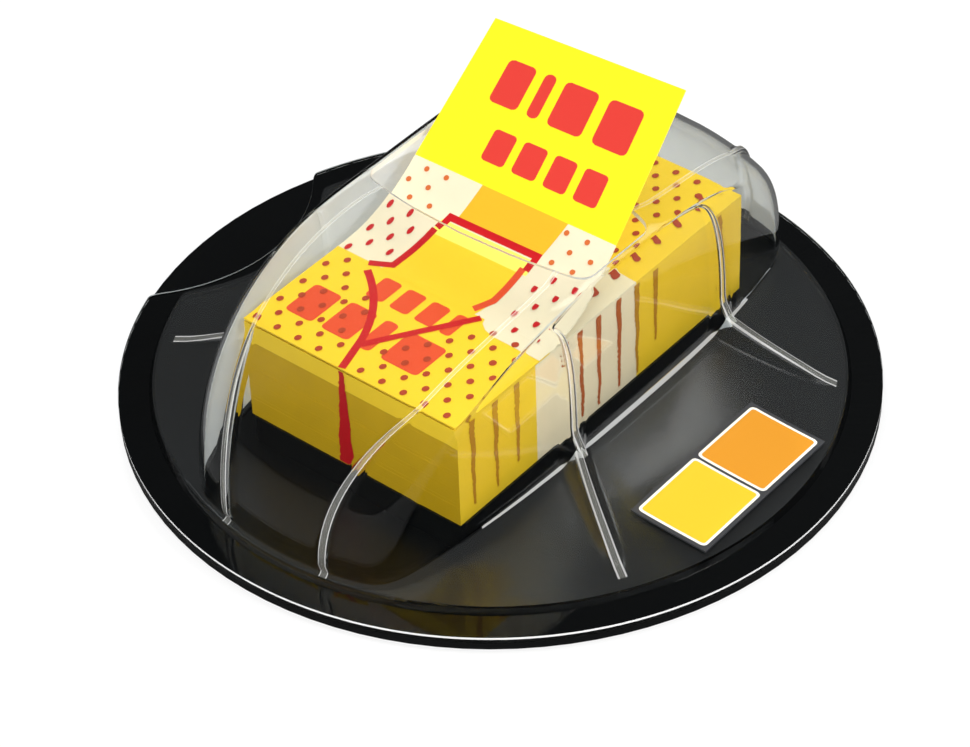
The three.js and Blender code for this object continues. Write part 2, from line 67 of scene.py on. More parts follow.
# Places in the photograph's camera
PHOTO_WIDTH, PHOTO_HEIGHT = 970, 747
CAMERA_AZIMUTH, CAMERA_ELEVATION, CAMERA_ROLL = 40.38, 40.65, -1.99
CAMERA_DISTANCE = 352.8
CAMERA_TARGET = (-2.14, 0.27, 0.0)
CAMERA_LENS, SENSOR_WIDTH = 133.3, 36.0
CLIP_START, CLIP_END = 0.01, 10.0

# Light in the clear plastic
PLASTIC_IOR = 1.46
SHADOW_TINT, HAZE_TINT = "F2F5F5", "F4F7F8"

# Fineness of patterns, loops and prints
GRAIN_DETAIL, GRAIN_STRENGTH = 3.0, 0.6
HALVINGS, CORNER_ROUNDS = 40, 12
DOT_CORNERS = 20
FIELD_COLUMNS, CORNER_ROWS, BARB_POINTS = 7, 6, 14
LEAST_MITRE, LEAST_MARK = 0.4, 0.05

# Kinds of value: place on a surface, two numbers that belong together, V with a left and a right U,
# point with its facing and its direction, and what gives the point at U, V and a lift
Point = tuple[float, float]
Pair = tuple[float, float]
Span = tuple[float, float, float]
Place = tuple[Vector, Vector, Vector]
Surface = Callable[[float, float, float], Vector]


def lerp(a: float, b: float, t: float) -> float:
    """Value between two others."""
    return a + (b - a) * t


def clamp(x: float, low: float, high: float) -> float:
    """A value kept within limits."""
    return min(high, max(low, x))


def smoothstep(low: float, high: float, x: float) -> float:
    """Soft change from 0 to 1."""
    t = clamp((x - low) / (high - low), 0.0, 1.0)
    return t * t * (3.0 - 2.0 * t)


def linear_colour(hex_colour: str) -> tuple[float, float, float, float]:
    """Linear colour of an sRGB one.

    Args:
        hex_colour: six hex digits.

    Returns:
        Red, green, blue and an alpha of 1.
    """
    channels = [int(hex_colour[k : k + 2], 16) / 255.0 for k in (0, 2, 4)]
    red, green, blue = (c / 12.92 if c <= 0.04045 else ((c + 0.055) / 1.055) ** 2.4 for c in channels)
    return red, green, blue, 1.0


def spread(low: float, high: float, count: int) -> list[float]:
    """Evenly spaced values."""
    return [lerp(low, high, k / (count - 1)) for k in range(count)]


class Half(Enum):
    """End or side of the cover that a station belongs to."""

    SIDE = "side"
    END = "end"
    CORNER = "corner"


@dataclass(frozen=True)
class Finish:
    """Surface of a material.

    Attributes:
        name: what it's made of and how.
        colour: sRGB hex of the base colour.
        roughness: mean roughness.
        coat: weight of a clear coat.
        grain: depth of the fine unevenness, in mm.
        grain_size: length of that unevenness, in mm.
        uneven: share by which the colour varies.
        specular: strength of its reflections, 0.5 for common plastic.
    """

    name: str
    colour: str
    roughness: float
    coat: float = 0.0
    grain: float = 0.0
    grain_size: float = 1.0
    uneven: float = 0.0
    specular: float = 0.5


FINISHES = {
    # Moulded plastic and rubber: deep black with a weak soft shine, and matt grey with a pore grain
    "base": Finish(
        "black_moulded_polystyrene",
        "060708",
        0.32,
        grain=0.003,
        grain_size=0.6,
        uneven=0.08,
        specular=0.3,
    ),
    "grip": Finish("black_foamed_rubber", "262829", 0.88, grain=0.05, grain_size=0.5, uneven=0.15),
    # Film and its cut edges: a satin sheet, and edges that scatter light and look a little duller
    "pad": Finish("cut_film_edges_yellow", "F4CB2C", 0.48, uneven=0.05, grain_size=3.0),
    "bright": Finish("film_printed_yellow", "F6E01C", 0.34, uneven=0.02, grain_size=6.0),
    "stack_yellow": Finish("film_over_yellow_print", "EFC828", 0.36, uneven=0.03, grain_size=5.0),
    "golden": Finish("film_over_golden_print", "E2B024", 0.36, uneven=0.03, grain_size=5.0),
    "pale_yellow": Finish("film_printed_pale_yellow", "FDF066", 0.36),
    "cream": Finish("matt_translucent_film", "E6DABD", 0.5, uneven=0.03, grain_size=4.0),
    "cream_edge": Finish("cut_film_edges_cream", "F0DFBF", 0.55, uneven=0.05, grain_size=2.0),
    # Front face of the pad: the edge yellow darkened, painted shade
    "shade_yellow": Finish("cut_film_edges_painted_shade", "C79E10", 0.5, uneven=0.08, grain_size=3.0),
    # Inks: flat and even, duller where film lies over them
    "red": Finish("ink_red", "D43A31", 0.4),
    "muted_red": Finish("ink_red_under_film", "D84A26", 0.4),
    "line_red": Finish("ink_crimson", "BC0F1A", 0.4),
    "dot_red": Finish("ink_brick_dots", "A5391F", 0.45),
    "dot_orange": Finish("ink_orange_dots", "C9662E", 0.45),
    "stripe_brown": Finish("ink_edge_marks_brown", "AF5522", 0.55),
    "stripe_gold": Finish("ink_edge_marks_gold", "B8801A", 0.55),
    # Coated paper: smooth, with a thin gloss
    "sticker": Finish("coated_paper_white", "F3F0E4", 0.4, coat=0.2),
    "sticker_yellow": Finish("sticker_ink_yellow", "DDBE26", 0.4, coat=0.2),
    "sticker_orange": Finish("sticker_ink_orange", "D68F20", 0.4, coat=0.2),
    "sticker_dark": Finish("sticker_ink_charcoal", "3C3D40", 0.4, coat=0.2),
}


def add_node(
    tree: bpy.types.NodeTree,
    kind: str,
    links: dict[str | int, bpy.types.NodeSocket] | None = None,
    values: dict[str | int, object] | None = None,
    **settings: object,
) -> bpy.types.Node:
    """Adds a node, with its settings, values and incoming links.

    Args:
        tree: node tree.
        kind: type of the node.
        links: name or number of an input, to the socket that feeds it.
        values: name or number of an input, to its value.
        **settings: properties of the node.

    Returns:
        The node.
    """
    node = tree.nodes.new(kind)
    for name, value in settings.items():
        setattr(node, name, value)
    for name, value in (values or {}).items():
        node.inputs[name].default_value = value
    for name, socket in (links or {}).items():
        tree.links.new(socket, node.inputs[name])
    return node


def new_material(
    name: str, colour: str, roughness: float
) -> tuple[bpy.types.Material, bpy.types.NodeTree, bpy.types.Node]:
    """Material with a plain surface.

    Args:
        name: its name.
        colour: sRGB hex of its colour.
        roughness: mean roughness.

    Returns:
        The material, its node tree and its shader.
    """
    material = bpy.data.materials.new(name)
    material.use_nodes = True
    shader = material.node_tree.nodes["Principled BSDF"]
    shader.inputs["Base Color"].default_value = linear_colour(colour)
    shader.inputs["Roughness"].default_value = roughness
    return material, material.node_tree, shader


def solid_material(finish: Finish) -> bpy.types.Material:
    """Opaque material with a little unevenness in colour and surface.

    Args:
        finish: its surface.

    Returns:
        The material.
    """
    material, tree, shader = new_material(finish.name, finish.colour, finish.roughness)
    shader.inputs["Coat Weight"].default_value = finish.coat
    shader.inputs["Specular IOR Level"].default_value = finish.specular
    if finish.uneven or finish.grain:
        place = add_node(tree, "ShaderNodeTexCoord")
        speckle = add_node(
            tree,
            "ShaderNodeTexNoise",
            {"Vector": place.outputs["Object"]},
            {"Scale": 1.0 / (finish.grain_size * MM), "Detail": GRAIN_DETAIL},
        )
    if finish.uneven:
        base = linear_colour(finish.colour)[:3]
        blend = add_node(tree, "ShaderNodeMix", {"Factor": speckle.outputs["Fac"]}, data_type="RGBA")
        for side, share in (("A", 1.0 - finish.uneven), ("B", 1.0 + finish.uneven)):
            blend.inputs[side].default_value = (*(min(1.0, c * share) for c in base), 1.0)
        tree.links.new(blend.outputs["Result"], shader.inputs["Base Color"])
    if finish.grain:
        bump = add_node(
            tree,
            "ShaderNodeBump",
            {"Height": speckle.outputs["Fac"]},
            {"Strength": GRAIN_STRENGTH, "Distance": finish.grain * MM},
        )
        tree.links.new(bump.outputs["Normal"], shader.inputs["Normal"])
    return material


@dataclass(frozen=True)
class ClearFinish:
    """Surface of a clear or milky material.

    Attributes:
        name: what it's made of and how.
        colour: sRGB hex of its tint.
        roughness: mean roughness.
        clearness: share of light that passes, where the rest is scattered as by a milky surface.
        haze: share scattered where the surface is seen from its air side, as on the inside of a far wall.
    """

    name: str
    colour: str
    roughness: float
    clearness: float
    haze: float = 0.0


# Clear formed plastic: crisp to look through. Pale lines along its cut rims, its right crease and the steps
# of its ribs are painted highlights, and its rib tops are milky, partly painted highlight.
# The skirt is softly hazed, and the inside of a far wall looks pale.
CLEAR_FINISHES = {
    "clear": ClearFinish("clear_formed_plastic", "F6F9FA", 0.03, 1.0),
    "inside": ClearFinish("clear_formed_plastic_inner_face", "F6F9FA", 0.03, 1.0, haze=0.62),
    "skirt": ClearFinish("clear_formed_plastic_softly_hazed", "F1F6F8", 0.14, 0.988),
    # Rib tops: milky, partly the stretched plastic's own look, partly painted highlight
    "rib": ClearFinish("clear_plastic_over_ribs_milky_and_painted_highlight", "F4F5EE", 0.12, 0.9),
    # White band on the rims of the flange and of the slot: painted highlight
    "edge": ClearFinish("clear_plastic_edge_painted_highlight", "FFFFFF", 0.25, 0.35),
    # White lines along the right crease and the steps of the ribs: painted highlight
    "crease": ClearFinish("clear_plastic_painted_highlight_lines", "FFFFFF", 0.2, 0.62),
}


def clear_material(finish: ClearFinish) -> bpy.types.Material:
    """Vacuum-formed plastic, which lets the lamps through to what is under it.

    Args:
        finish: its surface.

    Returns:
        The material.
    """
    material, tree, shader = new_material(finish.name, finish.colour, finish.roughness)
    shader.inputs["IOR"].default_value = PLASTIC_IOR
    shader.inputs["Transmission Weight"].default_value = finish.clearness
    surface = shader.outputs["BSDF"]
    if finish.haze:
        pale = {"Color": linear_colour(HAZE_TINT)}
        back = add_node(tree, "ShaderNodeBsdfDiffuse", values=pale)
        forth = add_node(tree, "ShaderNodeBsdfTranslucent", values=pale)
        scattering = {1: back.outputs["BSDF"], 2: forth.outputs["BSDF"]}
        scatter = add_node(tree, "ShaderNodeMixShader", scattering)
        side = add_node(tree, "ShaderNodeNewGeometry")
        share = add_node(
            tree,
            "ShaderNodeMapRange",
            {"Value": side.outputs["Backfacing"]},
            {"To Min": finish.haze, "To Max": 0.0},
        )
        hazing = {"Fac": share.outputs["Result"], 1: surface, 2: scatter.outputs["Shader"]}
        surface = add_node(tree, "ShaderNodeMixShader", hazing).outputs["Shader"]
    light_path = add_node(tree, "ShaderNodeLightPath")
    through = add_node(tree, "ShaderNodeBsdfTransparent", values={"Color": linear_colour(SHADOW_TINT)})
    passing = {"Fac": light_path.outputs["Is Shadow Ray"], 1: surface, 2: through.outputs["BSDF"]}
    mix = add_node(tree, "ShaderNodeMixShader", passing)
    tree.links.new(mix.outputs["Shader"], tree.nodes["Material Output"].inputs["Surface"])
    return material


class Palette:
    """Materials of the part, each made once when it's first asked for."""

    def __init__(self) -> None:
        """Starts with no materials."""
        self.made: dict[str, bpy.types.Material] = {}

    def get(self, key: str) -> bpy.types.Material:
        """Material of a finish.

        Args:
            key: name in FINISHES or in CLEAR_FINISHES.

        Returns:
            The material.
        """
        if key not in self.made:
            clear = CLEAR_FINISHES.get(key)
            self.made[key] = clear_material(clear) if clear else solid_material(FINISHES[key])
        return self.made[key]


def mesh_object(
    name: str,
    points: Sequence[Sequence[float]],
    faces: Sequence[Sequence[int]],
    materials: Sequence[bpy.types.Material],
    face_slots: Sequence[int] | None = None,
    smooth: bool = False,
) -> bpy.types.Object:
    """Object at the origin from points in millimetres.

    Args:
        name: name of the object and its mesh.
        points: vertices in mm.
        faces: vertex numbers of each face.
        materials: materials, one per slot.
        face_slots: slot of each face, or None for the first.
        smooth: True for smooth shading.

    Returns:
        The object, linked to the scene.
    """
    mesh = bpy.data.meshes.new(name)
    mesh.from_pydata([tuple(c * MM for c in p) for p in points], [], [tuple(f) for f in faces])
    for material in materials:
        mesh.materials.append(material)
    if face_slots is not None:
        mesh.polygons.foreach_set("material_index", list(face_slots))
    mesh.polygons.foreach_set("use_smooth", [smooth] * len(mesh.polygons))
    mesh.update()
    made = bpy.data.objects.new(name, mesh)
    bpy.context.scene.collection.objects.link(made)
    return made


def keyed_object(
    name: str,
    points: Sequence[Sequence[float]],
    faces: Sequence[Sequence[int]],
    keys: Sequence[str],
    palette: Palette,
) -> bpy.types.Object:
    """Object whose faces name their finishes.

    Args:
        name: name of the object.
        points: vertices in mm.
        faces: vertex numbers of each face.
        keys: finish of each face.
        palette: materials.

    Returns:
        The object.
    """
    used = sorted(set(keys))
    slots = [used.index(key) for key in keys]
    return mesh_object(name, points, faces, [palette.get(key) for key in used], slots)


@dataclass(frozen=True)
class Station:
    """Column of the cover's skin.

    Attributes:
        half: side, end or corner.
        sx: 1 on the right and -1 on the left.
        sy: 1 at the back and -1 at the front.
        place: crease Y of a side, share of an end's width, or share of the way round a corner.
        angle: degrees on the flange, for a side.
        rib: share of the rib's height.
    """

    half: Half
    sx: int = 1
    sy: int = 1
    place: float = 0.0
    angle: float = 0.0
    rib: float = 0.0


@dataclass
class Level:
    """Level curve of the hood at one height.

    Attributes:
        rise: share of the hood's height.
        centre_y: Y of the curve's middle.
        half_width: half width at the middle.
        half_length: half length at the middle.
        end_radius: radius of the ends.
        corner: length of the corner's rounding.
        corner_x: X where side and end would cross.
        corner_y: Y where they would cross.
    """

    rise: float
    centre_y: float
    half_width: float
    half_length: float
    end_radius: float
    corner: float
    corner_x: float = 0.0
    corner_y: float = 0.0


@dataclass
class ClearCover:
    """Clear moulded cover: flange, lip, skirt, hood, ribs, slot and finger notch, in millimetres."""

    # Flange, lip and wall
    disc_radius: float = 37.2
    disc_top: float = 1.3
    wall: float = 0.5
    flange_thickness: float = 0.7
    flange_width: float = 3.0
    # Height of the white band at the top of the flange's rim, a painted highlight
    painted_rim_highlight: float = 0.24
    lip_height: float = 0.6
    lip_run: float = 0.4

    # Skirt, and the crease where it meets the hood
    crease_rise: float = 1.8
    end_crease_rise: float = 0.3
    crease_bow: float = 3.0
    crease_share: float = 0.975
    # How far along the right side the crease gets its painted highlight
    crease_highlight_reach: float = 21.0
    skirt_curl: float = 3.0
    skirt_slope: float = 0.25

    # Hood
    hood_height: float = 20.4
    hood_half_width: float = 15.2
    hood_side_sag: float = 4.2
    hood_side_bow: float = 3.0
    hood_end_gap: float = 0.9
    hood_corner: float = 2.6
    shoulder_corner: float = 2.6
    corner_bow: int = 6
    end_roundness: float = 2.35
    side_roundness: float = 5.0

    # Slot
    slot_half_width: float = 13.3
    slot_centre_y: float = 1.8
    slot_half_length: float = 7.1
    slot_end_sag: float = 1.8
    slot_corner: float = 1.3
    slot_crown: float = 0.8

    # Finger notch
    notch_depth: float = 7.2
    notch_half_width: float = 12.4
    notch_land: float = 1.5
    notch_blend: float = 1.2

    # Section of a rib: a flat strip with a small step, and hollow flanks
    strip_half: float = 0.45
    strip_step: float = 0.12
    strip_share: float = 0.9
    strip_spread: float = 0.8
    flank_share: float = 0.72
    flank_hollow: float = 1.5
    end_flank: float = 1.1
    side_flank: float = 2.0
    foot_spread: float = 1.6
    inner_rib_share: float = 0.95

    # Where ribs stand, how proud they are, and where they fade
    end_rib_x: float = 5.9
    end_relief: float = 0.4
    end_foot: Pair = (-0.1, 0.08)
    end_fade: Pair = (0.62, 0.85)
    side_rib_ys: Pair = (-7.6, 16.4)
    side_rib_angle: float = 31.0
    side_relief: float = 1.5
    side_reach: float = 0.78
    reach_bow: float = 0.7
    side_wall_relief: float = 0.2
    side_fade: Pair = (0.9, 1.0)
    gusset_rise: float = 0.2

    # Rows of the mesh, and the angle over which its edges are sharp
    skirt_rows: int = 12
    foot_angles: tuple[float, ...] = (2, 4, 6.5)
    hood_angles: Pair = (9, 87)
    hood_rows: int = 27
    sharp_angle: float = 38.0

    # Columns of the mesh, and how they fan out towards the slot
    side_columns: int = 95
    plain_angles: tuple[float, ...] = (-61, -53, -46, -38, -23, -12, 0, 12, 23, 38, 46, 53, 61)
    foot_columns: int = 33
    foot_margin: float = 0.2
    notch_edge_angle: float = 18.75
    notch_edge_reach: float = 3.25
    notch_edge_columns: int = 27
    end_columns: int = 25
    end_rib_columns: int = 23
    end_rib_margin: float = 0.1
    corner_columns: int = 11
    side_fan_share: float = 0.4
    least_side_fan: float = 0.15
    end_fan: float = 1.1
    least_end_fan: float = 0.3
    crease: Level = field(init=False)
    knots: list[Point] = field(init=False)

    def __post_init__(self) -> None:
        """Works out the places that follow from the sizes."""
        self.flange_top = self.disc_top + self.flange_thickness
        self.lip_top = self.flange_top + self.lip_height
        self.hood_top = self.flange_top + self.hood_height
        self.ring_radius = self.disc_radius - self.flange_width
        self.hood_end_radius = self.ring_radius - self.hood_end_gap
        chord = self.slot_half_width - self.slot_corner
        self.slot_end_radius = (chord**2 + self.slot_end_sag**2) / (2 * self.slot_end_sag)
        self.crease = self.level_at(0.0)
        self.side_end = self.crease.corner_y - self.crease.corner
        corner_x, corner_y = self.on_level(self.crease, Station(Half.CORNER))
        self.corner_angle = math.degrees(math.atan2(corner_y, corner_x))
        self.knots = self.side_knots()

    def side_x(self, level: Level, y: float) -> float:
        """Half width of a level curve."""
        return level.half_width - self.hood_side_sag * abs(y / self.hood_end_radius) ** self.hood_side_bow

    def end_y(self, level: Level, x: float) -> float:
        """Half length of a level curve."""
        return level.half_length - level.end_radius + math.sqrt(level.end_radius**2 - x**2)

    def level_at(self, phi: float) -> Level:
        """Level curve at a height.

        Args:
            phi: angle up the hood, 0 at the crease and a quarter turn at the slot.

        Returns:
            The level curve.
        """
        sine, cosine = math.sin(phi), max(math.cos(phi), 0.0)
        rise = sine ** (2 / self.end_roundness)
        end_share = cosine ** (2 / self.end_roundness)
        side_share = cosine ** (2 / self.side_roundness)
        shoulder = lerp(self.hood_corner, self.shoulder_corner, math.sin(2 * phi))
        level = Level(
            rise=rise,
            centre_y=self.slot_centre_y * (1 - end_share),
            half_width=lerp(self.slot_half_width, self.hood_half_width, side_share),
            half_length=lerp(self.slot_half_length, self.hood_end_radius, end_share),
            end_radius=lerp(self.hood_end_radius, self.slot_end_radius, rise),
            corner=lerp(shoulder, self.slot_corner, rise**self.corner_bow),
        )
        level.corner_x = level.half_width
        for _ in range(CORNER_ROUNDS):
            level.corner_y = self.end_y(level, level.corner_x)
            level.corner_x = self.side_x(level, level.corner_y)
        return level

    def on_level(self, level: Level, station: Station) -> Point:
        """Place of a station on a level curve.

        Args:
            level: the curve.
            station: the column.

        Returns:
            X and Y.
        """
        side_end = level.corner_y - level.corner
        end_end = level.corner_x - level.corner
        if station.half is Half.SIDE:
            share = min(abs(station.place) / self.side_end, 1.0) if self.side_end else 0.0
            shrink = max(side_end / self.side_end, 1e-6)
            fan = 1 - math.log(shrink) / math.log(self.side_fan_share)
            y = math.copysign(share ** clamp(fan, self.least_side_fan, 1.0), station.place) * side_end
            return station.sx * self.side_x(level, y), y + level.centre_y
        if station.half is Half.END:
            fan = clamp(1 - self.end_fan * level.rise**2, self.least_end_fan, 1.0)
            x = math.copysign(abs(station.place) ** fan, station.place) * end_end
            return x, station.sy * self.end_y(level, x) + level.centre_y
        t = station.place
        start = (self.side_x(level, side_end), side_end)
        stop = (end_end, self.end_y(level, end_end))
        middle = (level.corner_x, level.corner_y)
        x, y = ((1 - t) ** 2 * a + 2 * t * (1 - t) * b + t**2 * c for a, b, c in zip(start, middle, stop))
        return station.sx * x, station.sy * y + level.centre_y

    def flange_angle(self, y: float) -> float:
        """Angle on the flange that a place on the crease leads to, before the ribs narrow it.

        Args:
            y: place on the crease.

        Returns:
            Degrees from the side's middle.
        """
        front, back = self.side_rib_ys
        marks = [
            (-self.side_end, -self.corner_angle),
            (front, -self.side_rib_angle),
            (back, self.side_rib_angle),
            (self.side_end, self.corner_angle),
        ]
        for (y0, a0), (y1, a1) in zip(marks, marks[1:]):
            if y <= y1:
                return lerp(a0, a1, (y - y0) / (y1 - y0))
        return self.corner_angle

    def crease_y(self, angle: float) -> float:
        """Crease place of a flange angle.

        Args:
            angle: degrees from the side's middle.

        Returns:
            Y on the crease.
        """
        low, high = -self.side_end, self.side_end
        for _ in range(HALVINGS):
            middle = (low + high) / 2
            if self.flange_angle(middle) < angle:
                low = middle
            else:
                high = middle
        return (low + high) / 2

    def side_knots(self) -> list[Point]:
        """Pairs of flange angle and crease place between which a side's columns are spaced.

        Returns:
            The pairs, in the order of the angle.
        """
        knots = [(float(angle), self.crease_y(angle)) for angle in self.plain_angles]
        for y, angle in zip(self.side_rib_ys, (-self.side_rib_angle, self.side_rib_angle)):
            for side in (-1, 1):
                knots.append((angle + side * self.foot_spread, y + side * self.side_flank))
                knots.append((angle + side * self.strip_spread, y + side * self.strip_half))
        knots.append((-self.corner_angle, -self.side_end))
        knots.append((self.corner_angle, self.side_end))
        return sorted(knots)

    def rib_share(self, distance: float, flank: float) -> float:
        """Section of a rib: a flat strip with a small step, and hollow flanks.

        Args:
            distance: distance from the rib's middle.
            flank: distance of its foot.

        Returns:
            Share of the rib's height.
        """
        if distance <= self.strip_half - self.strip_step:
            return 1.0
        if distance >= flank:
            return 0.0
        outside = clamp((distance - self.strip_half) / (flank - self.strip_half), 0.0, 1.0)
        inner, outer = self.strip_half - self.strip_step, self.strip_half + self.strip_step
        step = 1.0 - smoothstep(inner, outer, distance)
        return lerp(self.flank_share * (1.0 - outside) ** self.flank_hollow, 1.0, step)

    def side_stations(self, sx: int) -> list[Station]:
        """Columns up one side, from front to back.

        Args:
            sx: 1 on the right and -1 on the left.

        Returns:
            The columns.
        """
        angles = {round(a, 3) for a in spread(-self.corner_angle, self.corner_angle, self.side_columns)}
        foot = spread(-self.foot_spread, self.foot_spread, self.foot_columns)
        for rib_angle in (-self.side_rib_angle, self.side_rib_angle):
            angles = {a for a in angles if abs(a - rib_angle) > self.foot_spread + self.foot_margin}
            angles |= {round(rib_angle + d, 3) for d in foot}
        if sx < 0:
            near_edge = spread(-self.notch_edge_reach, self.notch_edge_reach, self.notch_edge_columns)
            for edge in (-self.notch_edge_angle, self.notch_edge_angle):
                angles |= {round(edge + d, 3) for d in near_edge}
        stations = []
        for angle in sorted(angles):
            y = self.side_end
            for (a0, y0), (a1, y1) in zip(self.knots, self.knots[1:]):
                if a0 <= angle <= a1:
                    y = lerp(y0, y1, (angle - a0) / (a1 - a0))
                    break
            distance = min(abs(y - rib_y) for rib_y in self.side_rib_ys)
            rib = self.rib_share(distance, self.side_flank)
            stations.append(Station(Half.SIDE, sx, 1, y, angle, rib))
        return stations

    def end_stations(self, sy: int) -> list[Station]:
        """Columns over one end, from left to right.

        Args:
            sy: 1 at the back and -1 at the front.

        Returns:
            The columns.
        """
        width = self.crease.corner_x - self.crease.corner
        xs = set(spread(-width, width, self.end_columns)[1:-1])
        for rib_x in (-self.end_rib_x, self.end_rib_x):
            xs = {x for x in xs if abs(x - rib_x) > self.end_flank + self.end_rib_margin}
            xs |= set(spread(rib_x - self.end_flank, rib_x + self.end_flank, self.end_rib_columns))
        stations = []
        for x in sorted(xs):
            rib = self.rib_share(abs(abs(x) - self.end_rib_x), self.end_flank)
            stations.append(Station(Half.END, 1, sy, x / width, 0.0, rib))
        return stations

    def stations(self) -> list[Station]:
        """All columns, counter-clockwise from the front of the right side.

        Returns:
            The columns.
        """
        corner = spread(0.0, 1.0, self.corner_columns)[1:-1]

        def around(sx: int, sy: int) -> list[Station]:
            return [Station(Half.CORNER, sx, sy, t) for t in corner]

        return [
            *self.side_stations(1),
            *around(1, 1),
            *self.end_stations(1)[::-1],
            *around(-1, 1)[::-1],
            *self.side_stations(-1)[::-1],
            *around(-1, -1),
            *self.end_stations(-1),
            *around(1, -1)[::-1],
        ]

    def direction(self, station: Station) -> float:
        """Direction on the flange of a column.

        Args:
            station: the column.

        Returns:
            Angle round the centre, in radians.
        """
        if station.half is Half.SIDE:
            angle = math.radians(station.angle)
            return math.atan2(math.sin(angle), station.sx * math.cos(angle))
        x, y = self.on_level(self.crease, station)
        return math.atan2(y, x)

    def notch_radius(self, angle: float) -> float:
        """Distance from the centre to the finger notch.

        Args:
            angle: direction, in radians.

        Returns:
            The distance, or a large one where the notch isn't.
        """
        inner = self.disc_radius - self.notch_depth
        sagitta = math.sqrt(self.disc_radius**2 - self.notch_half_width**2) - inner
        radius = (self.notch_half_width**2 + sagitta**2) / (2 * sagitta)
        centre = inner + radius
        off = abs(math.atan2(math.sin(angle - math.pi), math.cos(angle - math.pi)))
        reach = radius**2 - (centre * math.sin(off)) ** 2
        if off < math.pi / 2 and reach > 0:
            return centre * math.cos(off) - math.sqrt(reach)
        return 2 * self.disc_radius

    def soft_least(self, a: float, b: float) -> float:
        """Smaller of two lengths, with a rounded change."""
        share = clamp(0.5 + (b - a) / (2 * self.notch_blend), 0.0, 1.0)
        return lerp(b, a, share) - self.notch_blend * share * (1 - share)

    def outer_radius(self, angle: float) -> float:
        """Radius of the flange's outer edge."""
        return self.soft_least(self.disc_radius, self.notch_radius(angle))

    def inner_radius(self, angle: float) -> float:
        """Radius of the flange's inner edge."""
        return self.soft_least(self.ring_radius, self.notch_radius(angle) - self.notch_land)

    def crease_z(self, y: float) -> float:
        """Height of the crease between skirt and hood."""
        share = clamp(abs(y) / self.crease.corner_y, 0.0, 1.0)
        return self.lip_top + lerp(self.crease_rise, self.end_crease_rise, share**self.crease_bow)

    def skirt_point(self, station: Station, share: float) -> Vector:
        """Point of the skirt.

        Args:
            station: the column.
            share: 0 at the lip and 1 at the crease.

        Returns:
            The point.
        """
        x, y = self.on_level(self.crease, station)
        angle = self.direction(station)
        radius = self.inner_radius(angle) - self.lip_run
        curl = self.skirt_slope * share + (1 - self.skirt_slope) * share**self.skirt_curl
        return Vector((
            lerp(radius * math.cos(angle), x, share),
            lerp(radius * math.sin(angle), y, share),
            lerp(self.lip_top, self.crease_z(y), curl),
        ))

    def hood_point(self, station: Station, level: Level) -> Vector:
        """Point of the hood.

        Args:
            station: the column.
            level: its level curve.

        Returns:
            The point.
        """
        x, y = self.on_level(level, station)
        top = self.hood_top - self.slot_crown * (x / self.slot_half_width) ** 2
        foot = self.crease_z(self.on_level(self.crease, station)[1])
        return Vector((x, y, lerp(foot, top, level.rise)))

    def skirt_relief(self, station: Station, share: float) -> float:
        """How far a rib stands proud of the skirt.

        Args:
            station: the column.
            share: place on the skirt.

        Returns:
            The height of the rib.
        """
        if station.half is not Half.SIDE:
            return 0.0
        reach = clamp((share - 1 + self.side_reach) / self.side_reach, 0.0, 1.0)
        return self.side_relief * reach**self.reach_bow

    def hood_relief(self, station: Station, rise: float) -> float:
        """How far a rib stands proud of the hood.

        Args:
            station: the column.
            rise: share of the hood's height.

        Returns:
            The height of the rib.
        """
        if station.half is Half.SIDE:
            gusset = (self.side_relief - self.side_wall_relief) * (1 - smoothstep(0, self.gusset_rise, rise))
            return gusset + self.side_wall_relief * (1 - smoothstep(*self.side_fade, rise))
        return self.end_relief * smoothstep(*self.end_foot, rise) * (1 - smoothstep(*self.end_fade, rise))

    def flange_row(
        self, stations: list[Station], radius_at: Callable[[float], float], z: float
    ) -> list[Vector]:
        """Row of points round the flange."""
        angles = [self.direction(station) for station in stations]
        return [Vector((radius_at(a) * math.cos(a), radius_at(a) * math.sin(a), z)) for a in angles]

    def build(self, palette: Palette) -> bpy.types.Object:
        """Cover as one closed shell.

        Args:
            palette: materials.

        Returns:
            The object.
        """
        stations = self.stations()
        shares = [*(k / self.skirt_rows for k in range(self.skirt_rows)), self.crease_share, 1.0]
        angles = (*self.foot_angles, *spread(*self.hood_angles, self.hood_rows), 90)
        levels = [self.level_at(math.radians(angle)) for angle in angles]
        smooth = [self.flange_row(stations, self.inner_radius, self.flange_top)]
        smooth += [[self.skirt_point(s, share) for s in stations] for share in shares]
        smooth += [[self.hood_point(s, level) for s in stations] for level in levels]
        relief = [[s.rib * self.skirt_relief(s, share) for s in stations] for share in shares]
        relief += [[s.rib * self.hood_relief(s, level.rise) for s in stations] for level in levels]
        count = len(stations)

        def skin(depth: float, rib_share: float) -> list[list[Vector]]:
            rows = []
            for r in range(1, len(smooth)):
                row = []
                above, below = smooth[min(r + 1, len(smooth) - 1)], smooth[r - 1]
                for s in range(count):
                    along = smooth[r][(s + 1) % count] - smooth[r][s - 1]
                    normal = along.cross(above[s] - below[s]).normalized()
                    row.append(smooth[r][s] + normal * (rib_share * relief[r - 1][s] - depth))
                rows.append(row)
            return rows

        def foot_at(angle: float) -> float:
            return self.inner_radius(angle) - self.lip_run

